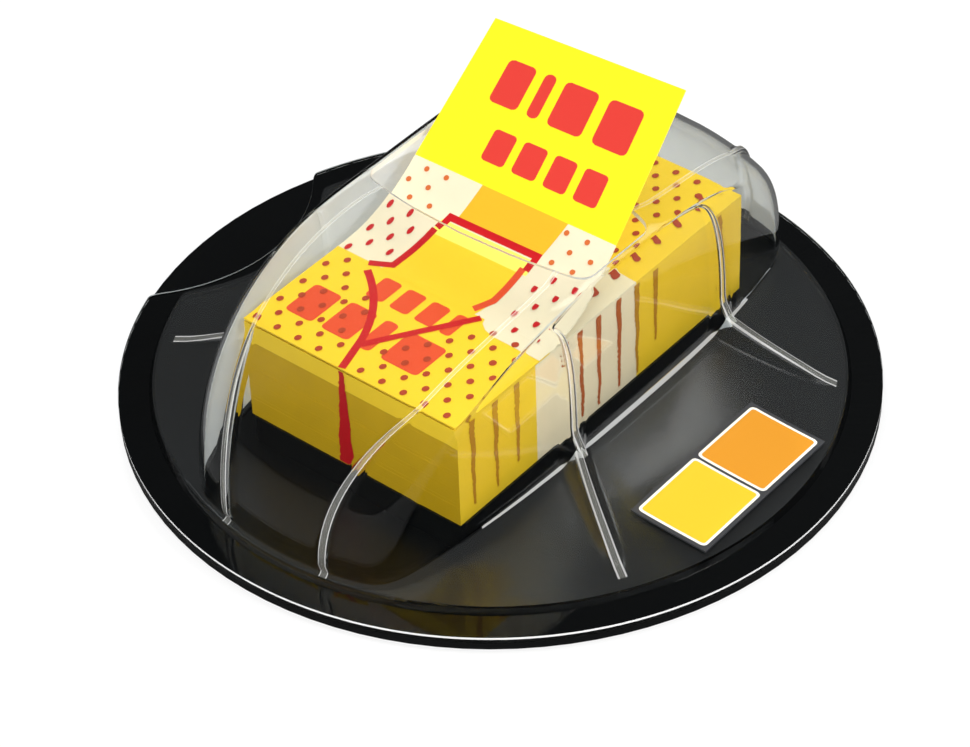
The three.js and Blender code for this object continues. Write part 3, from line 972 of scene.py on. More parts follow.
        rows = [
            self.flange_row(stations, self.outer_radius, self.flange_top),
            smooth[0],
            *skin(0.0, 1.0),
            *skin(self.wall, self.inner_rib_share)[::-1],
            self.flange_row(stations, foot_at, self.disc_top),
            self.flange_row(stations, self.outer_radius, self.disc_top),
            # Row just under the rim's top: the band above it takes the edge finish, a painted highlight
            self.flange_row(stations, self.outer_radius, self.flange_top - self.painted_rim_highlight),
        ]
        skirt_end = 2 + shares.index(self.crease_share)
        slot_edge = 1 + len(shares) + len(levels)
        keys = ("clear", "rib", "edge", "crease", "skirt", "inside")
        faces, slots = [], []
        for r in range(len(rows)):
            following = (r + 1) % len(rows)
            for s in range(count):
                t = (s + 1) % count
                faces.append((r * count + s, r * count + t, following * count + t, following * count + s))
                least, most = sorted((stations[s].rib, stations[t].rib))
                outside = 2 < r < slot_edge
                # Part of the right side whose crease gets the painted highlight
                on_crease_highlight = stations[s].half is Half.SIDE and abs(stations[s].place) < self.crease_highlight_reach
                # Edge and crease faces are pale bands painted as highlights on the rims, the rib steps and
                # the right crease; rib tops are milky, partly painted highlight
                slots.append(keys.index(
                    "edge" if r in (len(rows) - 1, slot_edge)
                    else "crease" if outside and self.flank_share < least < most
                    else "rib" if outside and least > self.strip_share
                    else "crease" if r == skirt_end and on_crease_highlight and stations[s].sx > 0
                    else "skirt" if 1 < r < skirt_end
                    else "inside" if slot_edge < r < slot_edge + len(levels)
                    else "clear"
                ))
        points = [p for row in rows for p in row]
        materials = [palette.get(key) for key in keys]
        cover = mesh_object("cover_shell", points, faces, materials, slots, smooth=True)
        cover.data.set_sharp_from_angle(angle=math.radians(self.sharp_angle))
        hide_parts("clear_cover")
        return cover


class DotPattern:
    """Geometry Nodes group that lays small flat dots on the points of a mesh."""

    def __init__(self) -> None:
        """Builds the node group with its named inputs."""
        self.group = bpy.data.node_groups.new("printed_dots", "GeometryNodeTree")
        face = self.group.interface
        self.sockets = {
            name: face.new_socket(name, in_out="INPUT", socket_type=kind).identifier
            for name, kind in (
                ("Points", "NodeSocketGeometry"),
                ("Radius", "NodeSocketFloat"),
                ("Stretch", "NodeSocketFloat"),
                ("Ink", "NodeSocketMaterial"),
            )
        }
        face.new_socket("Dots", in_out="OUTPUT", socket_type="NodeSocketGeometry")
        tree = self.group
        given = add_node(tree, "NodeGroupInput")
        facing, along = (
            add_node(tree, "GeometryNodeInputNamedAttribute", values={"Name": name}, data_type="FLOAT_VECTOR")
            for name in ("facing", "along")
        )
        disc = add_node(
            tree,
            "GeometryNodeMeshCircle",
            {"Radius": given.outputs["Radius"]},
            {"Vertices": DOT_CORNERS},
            fill_type="NGON",
        )
        stand = add_node(
            tree, "FunctionNodeAlignRotationToVector", {"Vector": facing.outputs["Attribute"]}, axis="Z"
        )
        turn = add_node(
            tree,
            "FunctionNodeAlignRotationToVector",
            {"Rotation": stand.outputs["Rotation"], "Vector": along.outputs["Attribute"]},
            axis="Y",
            pivot_axis="Z",
        )
        scale = add_node(tree, "ShaderNodeCombineXYZ", {"Y": given.outputs["Stretch"]}, {"X": 1.0, "Z": 1.0})
        laid = add_node(
            tree,
            "GeometryNodeInstanceOnPoints",
            {
                "Points": given.outputs["Points"],
                "Instance": disc.outputs["Mesh"],
                "Rotation": turn.outputs["Rotation"],
                "Scale": scale.outputs["Vector"],
            },
        )
        real = add_node(tree, "GeometryNodeRealizeInstances", {"Geometry": laid.outputs["Instances"]})
        inked = add_node(
            tree,
            "GeometryNodeSetMaterial",
            {"Geometry": real.outputs["Geometry"], "Material": given.outputs["Ink"]},
        )
        add_node(tree, "NodeGroupOutput", {"Dots": inked.outputs["Geometry"]})

    def lay(
        self,
        name: str,
        places: list[Place],
        radius: float,
        stretch: float,
        ink: bpy.types.Material,
    ) -> bpy.types.Object:
        """Lays dots and turns them into a plain mesh.

        Args:
            name: name of the piece.
            places: point, facing and along of each dot, in mm and as directions.
            radius: radius of a dot, in mm.
            stretch: length of a dot over its width.
            ink: material.

        Returns:
            The object.
        """
        dots = mesh_object(name, [tuple(p) for p, _, _ in places], [], [])
        for label, column in (("facing", 1), ("along", 2)):
            attribute = dots.data.attributes.new(label, "FLOAT_VECTOR", "POINT")
            attribute.data.foreach_set("vector", [c for place in places for c in place[column]])
        modifier = dots.modifiers.new("dots", "NODES")
        modifier.node_group = self.group
        modifier[self.sockets["Radius"]] = radius * MM
        modifier[self.sockets["Stretch"]] = stretch
        modifier[self.sockets["Ink"]] = ink
        bpy.context.view_layer.update()
        depsgraph = bpy.context.evaluated_depsgraph_get()
        made = bpy.data.meshes.new_from_object(dots.evaluated_get(depsgraph), depsgraph=depsgraph)
        dots.modifiers.clear()
        dots.data = made
        made.name = name
        return dots


@dataclass
class FlagSizes:
    """Sizes of the flags and of their print, in millimetres.

    Places on a flag are U across it, from its middle, and V along it, from its stuck end. The cream
    part of the pad and of the flag on it is given by its near and far Y.
    """

    width: float = 25.4
    length: float = 41.6
    thickness: float = 0.2
    fold_offset: float = 1.6
    pad_bottom: float = 4.4
    pad_height: float = 11.4
    field_lift: float = 0.015
    line_lift: float = 0.03
    dot_lift: float = 0.045
    dot_radius: float = 0.33
    dot_stretch: float = 1.2
    upper_dot_radius: float = 0.297
    upper_dot_stretch: float = 0.95
    dash_radius: float = 0.27
    dash_stretch: float = 1.9
    dot_pitch_u: float = 2.54
    dot_pitch_v: float = 3.25
    dot_inset: float = 0.85
    dot_margin: float = 0.6
    crossing_lift: float = 0.04
    cream_from: float = -10.3
    cream_to: float = 4.9

    @property
    def pad_length(self) -> float:
        """Length of the pad, whose flags lie a little forward or back."""
        return self.length + self.fold_offset

    @property
    def pad_top(self) -> float:
        """Height of the pad's top."""
        return self.pad_bottom + self.pad_height


@dataclass
class RaisedPath:
    """Path of the raised flag's left edge, and the surface that it carries, in millimetres."""

    sizes: FlagSizes
    stuck: float = 13.8
    slope: float = 35.0
    twist: float = 11.0
    rise_above_bend: float = 4.5
    lift_ease: float = 4.0
    bend_ease: float = 5.0
    slot_clearance: float = 0.8
    slot_back_y: float = 7.1
    slot_top_z: float = 21.6
    bend_steps: int = 120

    def __post_init__(self) -> None:
        """Works out the bend and the straight free end."""
        z = self.sizes.pad_top + self.sizes.thickness
        slope = math.radians(self.slope)
        self.front = -self.sizes.pad_length / 2
        self.forward = Vector((math.cos(slope), math.sin(slope)))
        through = Vector((self.slot_back_y, self.slot_top_z))
        through += Vector((-self.forward.y, self.forward.x)) * self.slot_clearance
        self.lift = Vector((self.front + self.stuck, z))
        self.bend_end = through - self.forward * self.rise_above_bend
        one = self.lift + Vector((self.lift_ease, 0.0))
        two = self.bend_end - self.forward * self.bend_ease
        self.bend = []
        for k in range(self.bend_steps + 1):
            t = k / self.bend_steps
            near = self.lift * (1 - t) ** 3 + one * (3 * (1 - t) ** 2 * t)
            self.bend.append(near + two * (3 * (1 - t) * t**2) + self.bend_end * t**3)
        self.runs = [0.0]
        for a, b in zip(self.bend, self.bend[1:]):
            self.runs.append(self.runs[-1] + (b - a).length)

    def edge(self, v: float) -> tuple[Vector, Vector]:
        """Place and direction on the left edge.

        Args:
            v: distance from the stuck end.

        Returns:
            Y and Z of the place, and of the direction.
        """
        if v <= self.stuck:
            return Vector((self.front + v, self.lift.y)), Vector((1.0, 0.0))
        run = v - self.stuck
        if run >= self.runs[-1]:
            return self.bend_end + self.forward * (run - self.runs[-1]), self.forward
        k = next(i for i, r in enumerate(self.runs) if r > run)
        share = (run - self.runs[k - 1]) / (self.runs[k] - self.runs[k - 1])
        step = self.bend[k] - self.bend[k - 1]
        return self.bend[k - 1] + step * share, step.normalized()

    def frame(self, u: float, v: float) -> Place:
        """Point of the flag's underside, its facing and its direction along the flag.

        Args:
            u: place across the flag.
            v: place along it.

        Returns:
            The point, the facing and the direction.
        """
        place, tangent = self.edge(v)
        risen = clamp((v - self.stuck) / (self.sizes.length - self.stuck), 0.0, 1.0)
        twist = math.radians(self.twist) * risen
        across = Vector((math.cos(twist), -tangent.y * math.sin(twist), tangent.x * math.sin(twist)))
        along = Vector((0.0, tangent.x, tangent.y))
        half = self.sizes.width / 2
        point = Vector((-half, place.x, place.y)) + across * (u + half)
        return point, across.cross(along).normalized(), along

    def point(self, u: float, v: float, lift: float) -> Vector:
        """Point over the flag's underside."""
        point, facing, _ = self.frame(u, v)
        return point + facing * lift


class Print:
    """Patches of ink or of film colour on a surface, gathered by material."""

    def __init__(self, surface: Surface) -> None:
        """Starts with no patches.

        Args:
            surface: gives the point at U, V and a lift.
        """
        self.surface = surface
        self.points: list[Vector] = []
        self.faces: list[tuple[int, ...]] = []
        self.keys: list[str] = []

    def grid(self, rows: list[list[Point]], lift: float, key: str) -> None:
        """Adds a patch from rows of places.

        Args:
            rows: rows of U and V, all as long.
            lift: distance over the surface.
            key: its finish.
        """
        first, count = len(self.points), len(rows[0])
        self.points += [self.surface(u, v, lift) for row in rows for u, v in row]
        for r in range(len(rows) - 1):
            for c in range(count - 1):
                a = first + r * count + c
                self.faces.append((a, a + 1, a + 1 + count, a + count))
                self.keys.append(key)

    def field(self, spans: Sequence[Span], lift: float, key: str, step: float = 0.5) -> None:
        """Adds a field between a left and a right border.

        Args:
            spans: V with the border's left and right U, from the stuck end on.
            lift: distance over the surface.
            key: its finish.
            step: most distance between rows.
        """
        rows = []
        for (v0, l0, r0), (v1, l1, r1) in zip(spans, spans[1:]):
            parts = max(1, math.ceil((v1 - v0) / step))
            for k in range(parts):
                t = k / parts
                rows.append((lerp(v0, v1, t), lerp(l0, l1, t), lerp(r0, r1, t)))
        rows.append(spans[-1])
        grid = [[(u, v) for u in spread(left, right, FIELD_COLUMNS)] for v, left, right in rows]
        self.grid(grid, lift, key)

    def bar(self, u0: float, u1: float, v0: float, v1: float, corner: float, lift: float, key: str) -> None:
        """Adds a bar with rounded corners.

        Args:
            u0: left side.
            u1: right side.
            v0: near side.
            v1: far side.
            corner: radius of its corners.
            lift: distance over the surface.
            key: its finish.
        """
        shares = spread(0.0, 1.0, CORNER_ROWS)
        ends = [(t, v0 + corner * t) for t in shares] + [(t, v1 - corner * t) for t in shares[::-1]]
        spans = []
        for t, v in ends:
            inset = corner * (1 - math.sqrt(max(0.0, 1 - (1 - t) ** 2)))
            spans.append((v, u0 + inset, u1 - inset))
        self.field(spans, lift, key)

    def line(self, places: Sequence[Point], width: float, lift: float, key: str, step: float = 0.4) -> None:
        """Adds a line of even width with mitred corners.

        Args:
            places: U and V of its corners.
            width: its width.
            lift: distance over the surface.
            key: its finish.
            step: most distance between rows.
        """
        path = [Vector(p) for p in places]
        ways = [(b - a).normalized() for a, b in zip(path, path[1:])]
        sides = []
        for k, place in enumerate(path):
            before, after = ways[max(k - 1, 0)], ways[min(k, len(ways) - 1)]
            middle = (before + after).normalized()
            normal = Vector((-middle.y, middle.x))
            reach = width / 2 / max(LEAST_MITRE, normal.dot(Vector((-after.y, after.x))))
            sides.append((place - normal * reach, place + normal * reach))
        rows = []
        for (a0, b0), (a1, b1) in zip(sides, sides[1:]):
            parts = max(1, math.ceil((a1 - a0).length / step))
            rows += [[tuple(a0.lerp(a1, k / parts)), tuple(b0.lerp(b1, k / parts))] for k in range(parts)]
        rows.append([tuple(sides[-1][0]), tuple(sides[-1][1])])
        self.grid([[b, a] for a, b in rows], lift, key)

    def build(self, name: str, palette: Palette) -> bpy.types.Object:
        """Makes the patches one piece.

        Args:
            name: name of the piece.
            palette: materials.

        Returns:
            The object.
        """
        return keyed_object(name, self.points, self.faces, self.keys, palette)


def bezier(corners: Sequence[Point], count: int) -> list[Point]:
    """Places along a curve with three control points."""
    a, b, c = (Vector(corner) for corner in corners)
    return [tuple(a * (1 - t) ** 2 + b * (2 * t * (1 - t)) + c * t**2) for t in spread(0.0, 1.0, count)]


def thin_sheet(
    name: str,
    us: Sequence[float],
    vs: Sequence[float],
    surface: Surface,
    thickness: float,
    key_at: Callable[[float, float], str],
    palette: Palette,
) -> bpy.types.Object:
    """Closed thin sheet over a grid of places.

    Args:
        name: name of the piece.
        us: places across.
        vs: places along.
        surface: gives the point at U, V and a lift.
        thickness: its thickness.
        key_at: finish at a place.
        palette: materials.

    Returns:
        The object.
    """
    rows, columns = len(vs), len(us)
    points = [surface(u, v, lift) for lift in (0.0, thickness) for v in vs for u in us]
    top = rows * columns
    faces, keys = [], []
    for r in range(rows - 1):
        for c in range(columns - 1):
            a = r * columns + c
            b, d, e = a + 1, a + columns + 1, a + columns
            key = key_at((us[c] + us[c + 1]) / 2, (vs[r] + vs[r + 1]) / 2)
            faces += [(a, e, d, b), (top + a, top + b, top + d, top + e)]
            keys += [key, key]
    rim = list(range(columns))
    rim += [r * columns + columns - 1 for r in range(1, rows)]
    rim += [(rows - 1) * columns + c for c in range(columns - 2, -1, -1)]
    rim += [r * columns for r in range(rows - 2, 0, -1)]
    for k, a in enumerate(rim):
        b = rim[(k + 1) % len(rim)]
        r, c = divmod(min(a, b), columns)
        faces.append((a, b, top + b, top + a))
        keys.append(key_at(us[min(c, columns - 1)], (vs[r] + vs[min(r + 1, rows - 1)]) / 2))
    return keyed_object(name, points, faces, keys, palette)


@dataclass
class RaisedFlag:
    """Flag that stands out of the slot, with its print."""

    sizes: FlagSizes
    palette: Palette
    path: RaisedPath = field(init=False)

    # Arrow: left and right borders of its head as V and U, and the corners of its shaft
    head_left: tuple[Point, ...] = ((0.2, -1.0), (4.2, -1.9), (8.8, -3.7), (12.8, -8.6))
    head_right: tuple[Point, ...] = ((0.2, -1.0), (3.6, -1.4), (7.2, 0.6), (9.2, 2.1), (13.2, 4.9))
    stem_left: tuple[Point, ...] = ((-5.9, 20.0), (-6.5, 15.4), (-6.6, 14.3), (-8.7, 13.2))
    stem_right: tuple[Point, ...] = ((4.9, 20.1), (4.5, 15.7), (3.5, 13.9))
    bracket: tuple[Point, ...] = ((-5.75, 20.2), (-5.3, 21.9), (5.5, 21.95), (5.3, 20.0))
    # Fields of colour, as V with left and right U
    cream_tongue: tuple[Span, ...] = (
        (11.9, 7.6, 12.7),
        (12.2, 6.3, 12.7),
        (12.8, 5.5, 12.7),
        (13.6, 5.2, 12.7),
    )
    shaft: tuple[Span, ...] = ((13.2, -7.3, 4.0), (15.2, -6.5, 4.5), (19.5, -6.4, 5.0))
    shaft_end: tuple[Span, ...] = ((19.5, -6.1, 5.6), (21.4, -6.0, 5.8))
    golden_field: tuple[Span, ...] = ((22.2, -4.5, 5.9), (26.1, -3.9, 6.9))

    # Rows of bars, as near and far V, corner, finish, and left and right U of each bar
    bar_rows: tuple[tuple[float, float, float, str, tuple[Point, ...]], ...] = (
        (3.3, 7.9, 0.5, "muted_red", ((-10.6, -7.3), (-6.2, -2.9), (-1.9, -0.3), (1.0, 5.4))),
        (9.4, 12.6, 0.4, "muted_red", ((-6.0, -3.9), (-3.1, -0.9), (-0.1, 2.0), (2.9, 4.2))),
        (33.8, 38.4, 0.6, "red", ((-8.3, -4.6), (-3.4, -1.9), (-0.7, 3.7), (5.1, 9.5))),
        (28.3, 31.6, 0.45, "red", ((-5.7, -2.8), (-1.8, 1.2), (2.2, 5.0), (6.0, 8.9))),
    )

    # Barbs of the arrow: corners of each curve, and its point
    barb_left: tuple[Point, ...] = ((-8.1, 12.3), (-3.6, 9.2), (-1.9, 4.2))
    barb_right: tuple[Point, ...] = ((4.9, 13.3), (1.6, 8.4), (-1.5, 3.7))
    tip: Point = (-0.75, 0.1)
    line_width: float = 0.76

    # Where dots stand, and how far they stay from the arrow
    dot_margin: float = 0.95
    first_dot: float = 0.9
    dashes_until: float = 21.0
    tongue_corner: Point = (5.4, 12.3)
    shaft_from: float = 13.0
    shaft_reach: Pair = (-6.4, 5.4)
    neck_until: float = 15.0
    neck_left: float = -10.4

    # Film: its thickness, where its yellow and its cream part end, and the fineness of its mesh
    film: float = 0.16
    yellow_until: float = 13.4
    cream_until: float = 26.1
    sheet_rows: tuple[int, int, int] = (14, 40, 20)
    sheet_columns: int = 17

    def __post_init__(self) -> None:
        """Makes the path."""
        self.path = RaisedPath(self.sizes)

    def surface(self, u: float, v: float, lift: float) -> Vector:
        """Point over the printed side."""
        return self.path.point(u, v, self.film + lift)

    def film_key(self, u: float, v: float) -> str:
        """Film colour at a place.

        Args:
            u: place across.
            v: place along.

        Returns:
            The finish.
        """
        if v < self.yellow_until:
            return "stack_yellow"
        return "cream" if v < self.cream_until else "bright"

    def sheet(self) -> bpy.types.Object:
        """The film itself.

        Returns:
            The object.
        """
        half = self.sizes.width / 2
        marks = (0.0, self.yellow_until, self.cream_until, self.sizes.length)
        vs = [0.0]
        for (a, b), count in zip(zip(marks, marks[1:]), self.sheet_rows):
            vs += spread(a, b, count)[1:]
        film = thin_sheet(
            "raised_flag_film",
            spread(-half, half, self.sheet_columns),
            vs,
            self.path.point,
            self.film,
            self.film_key,
            self.palette,
        )
        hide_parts("raised_flag")
        return film

    def fields(self) -> bpy.types.Object:
        """Fields of colour, the lines of the arrow and plain bars.

        Returns:
            The object.
        """
        low, high, crossing = self.sizes.field_lift, self.sizes.line_lift, self.sizes.crossing_lift
        ink = Print(self.surface)
        for spans, key in (
            (self.cream_tongue, "cream"),
            (self.shaft, "stack_yellow"),
            (self.shaft_end, "pale_yellow"),
            (self.golden_field, "golden"),
        ):
            ink.field(spans, low, key)
        for near, far, corner, key, bars in self.bar_rows:
            for left, right in bars:
                ink.bar(left, right, near, far, corner, low, key)
        for places, lift, key in (
            ([*bezier(self.barb_left, BARB_POINTS), self.tip], high, "line_red"),
            (bezier(self.barb_right, BARB_POINTS), crossing, "line_red"),
            (self.stem_left, high, "line_red"),
            (self.stem_right, high, "muted_red"),
            (self.bracket, crossing, "line_red"),
        ):
            ink.line(places, self.line_width, lift, key)
        return ink.build("raised_flag_print", self.palette)

    def inside_arrow(self, u: float, v: float) -> bool:
        """True within the arrow or on its lines.

        Args:
            u: place across.
            v: place along.

        Returns:
            Whether the place is inside.
        """
        margin = self.dot_margin
        if v > self.shaft_from:
            left, right = self.shaft_reach
            return left - margin < u < right + margin or (v < self.neck_until and self.neck_left < u < 0.0)

        def border(marks: tuple[Point, ...]) -> float:
            for (v0, u0), (v1, u1) in zip(marks, marks[1:]):
                if v <= v1:
                    return lerp(u0, u1, clamp((v - v0) / (v1 - v0), 0.0, 1.0))
            return marks[-1][1]

        return border(self.head_left) - margin < u < border(self.head_right) + margin

    def dots(self, pattern: DotPattern) -> list[bpy.types.Object]:
        """Rows of dots on the film that carries the adhesive.

        Args:
            pattern: node group that lays them.

        Returns:
            The objects.
        """
        sizes = self.sizes
        groups: dict[str, list[Place]] = {"round": [], "long": [], "upper": []}
        for u, v in lattice(sizes, self.first_dot, self.cream_until - sizes.dot_margin):
            if self.inside_arrow(u, v):
                continue
            point, facing, along = self.path.frame(u, v)
            place = (point + facing * (self.film + sizes.dot_lift), facing, along)
            cream = v > self.yellow_until or (u > self.tongue_corner[0] and v > self.tongue_corner[1])
            label = "round" if not cream else "long" if v < self.dashes_until else "upper"
            groups[label].append(place)
        kinds = (
            ("raised_flag_dots", "round", sizes.dot_radius, sizes.dot_stretch, "dot_red"),
            ("raised_flag_long_dots", "long", sizes.dash_radius, sizes.dash_stretch, "line_red"),
            (
                "raised_flag_upper_dots",
                "upper",
                sizes.upper_dot_radius,
                sizes.upper_dot_stretch,
                "dot_orange",
            ),
        )
        return [
            pattern.lay(name, groups[label], radius, stretch, self.palette.get(key))
            for name, label, radius, stretch, key in kinds
        ]


def lattice(sizes: FlagSizes, low: float, high: float) -> list[Point]:
    """Staggered places of the dots.

    Args:
        sizes: sizes of the flags.
        low: first place along.
        high: last place along.

    Returns:
        U and V of each dot.
    """
    places = []
    columns = int(sizes.width / (sizes.dot_pitch_u / 2))
    for column in range(columns):
        u = -sizes.width / 2 + sizes.dot_inset + column * sizes.dot_pitch_u / 2
        if u > sizes.width / 2 - sizes.dot_margin:
            continue
        v = low + (sizes.dot_pitch_v / 2 if column % 2 else 0.0)
        while v < high:
            places.append((u, v))
            v += sizes.dot_pitch_v
    return places


@dataclass
class NextFlag:
    """Flag that lies flat on the pad, with its print."""

    sizes: FlagSizes
    palette: Palette
    free_from: float = -5.5
    free_margin: float = 0.5

    def surface(self, u: float, v: float, lift: float) -> Vector:
        """Point over the flag's underside."""
        return Vector((u, v, self.sizes.pad_top + lift))

    def film_key(self, u: float, v: float) -> str:
        """Film colour at a place."""
        return "cream" if self.sizes.cream_from < v < self.sizes.cream_to else "stack_yellow"

    def sheet(self) -> bpy.types.Object:
        """The film itself.

        Returns:
            The object.
        """
        half, back = self.sizes.width / 2, self.sizes.pad_length / 2
        front = back - self.sizes.length
        film = thin_sheet(
            "next_flag_film",
            (-half, 0.0, half),
            (front, self.sizes.cream_from, self.sizes.cream_to, back),
            self.surface,
            self.sizes.thickness,
            self.film_key,
            self.palette,
        )
        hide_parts("next_flag")
        return film

    def dots(self, pattern: DotPattern) -> list[bpy.types.Object]:
        """Rows of dots where the flag lies free of the raised one.

        Args:
            pattern: node group that lays them.

        Returns:
            The objects.
        """
        up, along = Vector((0.0, 0.0, 1.0)), Vector((0.0, 1.0, 0.0))
        sizes, ink = self.sizes, self.palette.get("dot_red")
        groups: dict[str, list[Place]] = {"round": [], "long": []}
        for u, v in lattice(sizes, self.free_from, sizes.pad_length / 2 - self.free_margin):
            point = self.surface(u, v, sizes.thickness + sizes.dot_lift)
            groups["long" if v < sizes.cream_to else "round"].append((point, up, along))
        return [
            pattern.lay("next_flag_dots", groups["round"], sizes.dot_radius, sizes.dot_stretch, ink),
            pattern.lay("next_flag_long_dots", groups["long"], sizes.dash_radius, sizes.dash_stretch, ink),
        ]


@dataclass
class FlagPad:
    """Pad of flags: thin layers, with the colours and edge marks of their print on its sides, and painted
    shade on its front face below a band in the lit colour.
    """

    sizes: FlagSizes
    palette: Palette
    layers: int = 27
    shift: float = 0.045
    # Height of the band under the top of the front face that keeps the lit yellow: painted light
    painted_light_band: float = 2.2

    # Unevenness of the layers and of the marks: how deep it is, and where its noise is read
    layer_waves: tuple[Pair, Pair] = ((0.37, 4.1), (0.61, 1.9))
    sideways_share: float = 0.25
    mark_rows: int = 90
    wander: Pair = (0.16, 0.45)
    rough_edge: Pair = (0.16, 3.1)
    edge_seeds: Pair = (7.0, 11.0)

    # Marks on the right face: Y, how far each ends over the pad's foot and under its top, and its finish
    side_marks: tuple[tuple[float, float, float, str], ...] = (
        (-19.5, 1.2, 0.0, "stripe_gold"),
        (-16.2, 1.0, 0.0, "stripe_gold"),
        (-13.1, 1.9, 0.0, "stripe_gold"),
        (-6.3, 8.8, 0.1, "stripe_brown"),
        (-3.7, 0.8, 0.1, "stripe_brown"),
        (-0.9, 0.5, 0.1, "stripe_brown"),
        (2.2, 0.6, 0.1, "stripe_brown"),
        (5.0, 0.4, 0.1, "stripe_gold"),
        (7.9, 2.6, 0.2, "stripe_gold"),
        (17.9, 1.0, 0.1, "stripe_gold"),
    )
    side_mark_widths: Pair = (0.3, 0.8)
    side_gap: float = 0.02
    seed_step: float = 3.0

    # Mark on the front face
    front_mark_x: float = -0.75
    front_mark_foot: float = 0.1
    front_mark_widths: Pair = (1.9, 0.55)
    front_gap_share: float = 0.6
    front_seed: float = 40.0

    def stack(self) -> bpy.types.Object:
        """The layers as one closed solid.

        Returns:
            The object.
        """
        x, y = self.sizes.width / 2, self.sizes.pad_length / 2
        a, b = self.sizes.cream_from, self.sizes.cream_to
        outline = [(-x, -y), (x, -y), (x, a), (x, b), (x, y), (-x, y), (-x, b), (-x, a)]
        # The front face takes the darker yellow, painted shade; the other faces keep the film's edge colours
        side_keys = ["shade_yellow", "pad", "cream_edge", "pad", "pad", "pad", "cream_edge", "pad"]
        rows = []
        for k in range(self.layers):
            z0 = self.sizes.pad_bottom + self.sizes.pad_height * k / self.layers
            z1 = self.sizes.pad_bottom + self.sizes.pad_height * (k + 1) / self.layers
            (rate_y, seed_y), (rate_x, seed_x) = self.layer_waves
            dy = self.shift * noise.noise(Vector((rate_y * k, seed_y, 0.0)))
            dx = self.sideways_share * self.shift * noise.noise(Vector((seed_x, rate_x * k, 0.0)))
            rows += [[(px + dx, py + dy, z) for px, py in outline] for z in (z0, z1)]
        count = len(outline)
        points = [p for row in rows for p in row]
        faces, keys = [], []
        top = self.sizes.pad_top
        for r in range(len(rows) - 1):
            middle = (rows[r][0][2] + rows[r + 1][0][2]) / 2
            for s in range(count):
                t = (s + 1) % count
                faces.append((r * count + s, r * count + t, (r + 1) * count + t, (r + 1) * count + s))
                # Under the top of the front face a band keeps the lit yellow, painted light; below it the
                # face is painted shade
                painted_light_on_front = side_keys[s] == "shade_yellow" and middle > top - self.painted_light_band
                keys.append("pad" if painted_light_on_front else side_keys[s])
        faces += [tuple(reversed(range(count))), tuple(range(len(points) - count, len(points)))]
        keys += ["pad", "pad"]
        made = keyed_object("pad_stack", points, faces, keys, self.palette)
        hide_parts("flag_pad")
        return made

    def ragged(
        self, ink: Print, middle: float, low: float, high: float, widths: Pair, seed: float, key: str
    ) -> None:
        """Adds an upright mark with uneven edges.

        Args:
            ink: patches of its face of the pad.
            middle: place across the face.
            low: height of its lower end.
            high: height of its upper end.
            widths: width at its lower and upper end.
            seed: where its unevenness is read.
            key: its finish.
        """
        rows = []
        depth, rate = self.rough_edge
        for z in spread(low, high, self.mark_rows):
            width = lerp(*widths, (z - low) / (high - low))
            centre = middle + self.wander[0] * noise.noise(Vector((seed, self.wander[1] * z, 0.0)))
            left, right = (
                centre + side * width / 2 + depth * noise.noise(Vector((seed + more, rate * z, 0.0)))
                for side, more in zip((-1, 1), self.edge_seeds)
            )
            rows.append([(left, z), (max(left + LEAST_MARK, right), z)])
        ink.grid(rows, self.sizes.field_lift, key)

    def marks(self) -> list[bpy.types.Object]:
        """Marks that the edges of the print leave on the pad's right and front faces.

        Returns:
            The objects.
        """
        side_x = self.sizes.width / 2 + self.side_gap
        front_y = -self.sizes.pad_length / 2 - self.front_gap_share * self.shift
        low, high = self.sizes.pad_bottom, self.sizes.pad_top
        right = Print(lambda u, v, lift: Vector((side_x + lift, u, v)))
        for k, (y, foot, head, key) in enumerate(self.side_marks):
            seed = self.seed_step * k
            self.ragged(right, y, low + foot, high - head, self.side_mark_widths, seed, key)
        front = Print(lambda u, v, lift: Vector((u, front_y - lift, v)))
        foot, widths = low + self.front_mark_foot, self.front_mark_widths
        self.ragged(front, self.front_mark_x, foot, high, widths, self.front_seed, "line_red")
        return [
            right.build("pad_side_marks", self.palette),
            front.build("pad_front_mark", self.palette),
        ]


@dataclass
class Sticker:
    """Print of the sticker on the skirt: two blocks of colour with thin white borders."""

    palette: Palette
    node: bpy.types.Object
    margin: float = 0.4
    border: float = 0.28
    half_gap: float = 0.15
    corner: float = 0.5
    inner_corner: float = 0.3
    lift: float = 0.015
    drop: float = 5.0

    def build(self) -> bpy.types.Object:
        """Blocks of colour over the sticker.

        Returns:
            The object.
        """
        low, high = (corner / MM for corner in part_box("skirt_sticker"))
        middle_x, half_x = (low.x + high.x) / 2, (high.x - low.x) / 2 - self.margin
        middle_y, half_y = (low.y + high.y) / 2, (high.y - low.y) / 2 - self.margin
        down = Vector((0.0, 0.0, -1.0))

        def surface(u: float, v: float, lift: float) -> Vector:
            start = Vector((middle_x + u, middle_y + v, high.z + self.drop)) * MM
            hit, place, _, _ = self.node.ray_cast(start, down)
            z = place.z / MM if hit else high.z
            return Vector((middle_x + u, middle_y + v, z + lift))

        ink = Print(surface)
        gap, inset = self.half_gap, self.border
        for v0, v1, key in ((-half_y, -gap, "sticker_yellow"), (gap, half_y, "sticker_orange")):
            ink.bar(-half_x, half_x, v0, v1, self.corner, self.lift, "sticker")
            inner = (inset - half_x, half_x - inset, v0 + inset, v1 - inset)
            ink.bar(*inner, self.inner_corner, 2 * self.lift, key)
        return ink.build("sticker_print", self.palette)


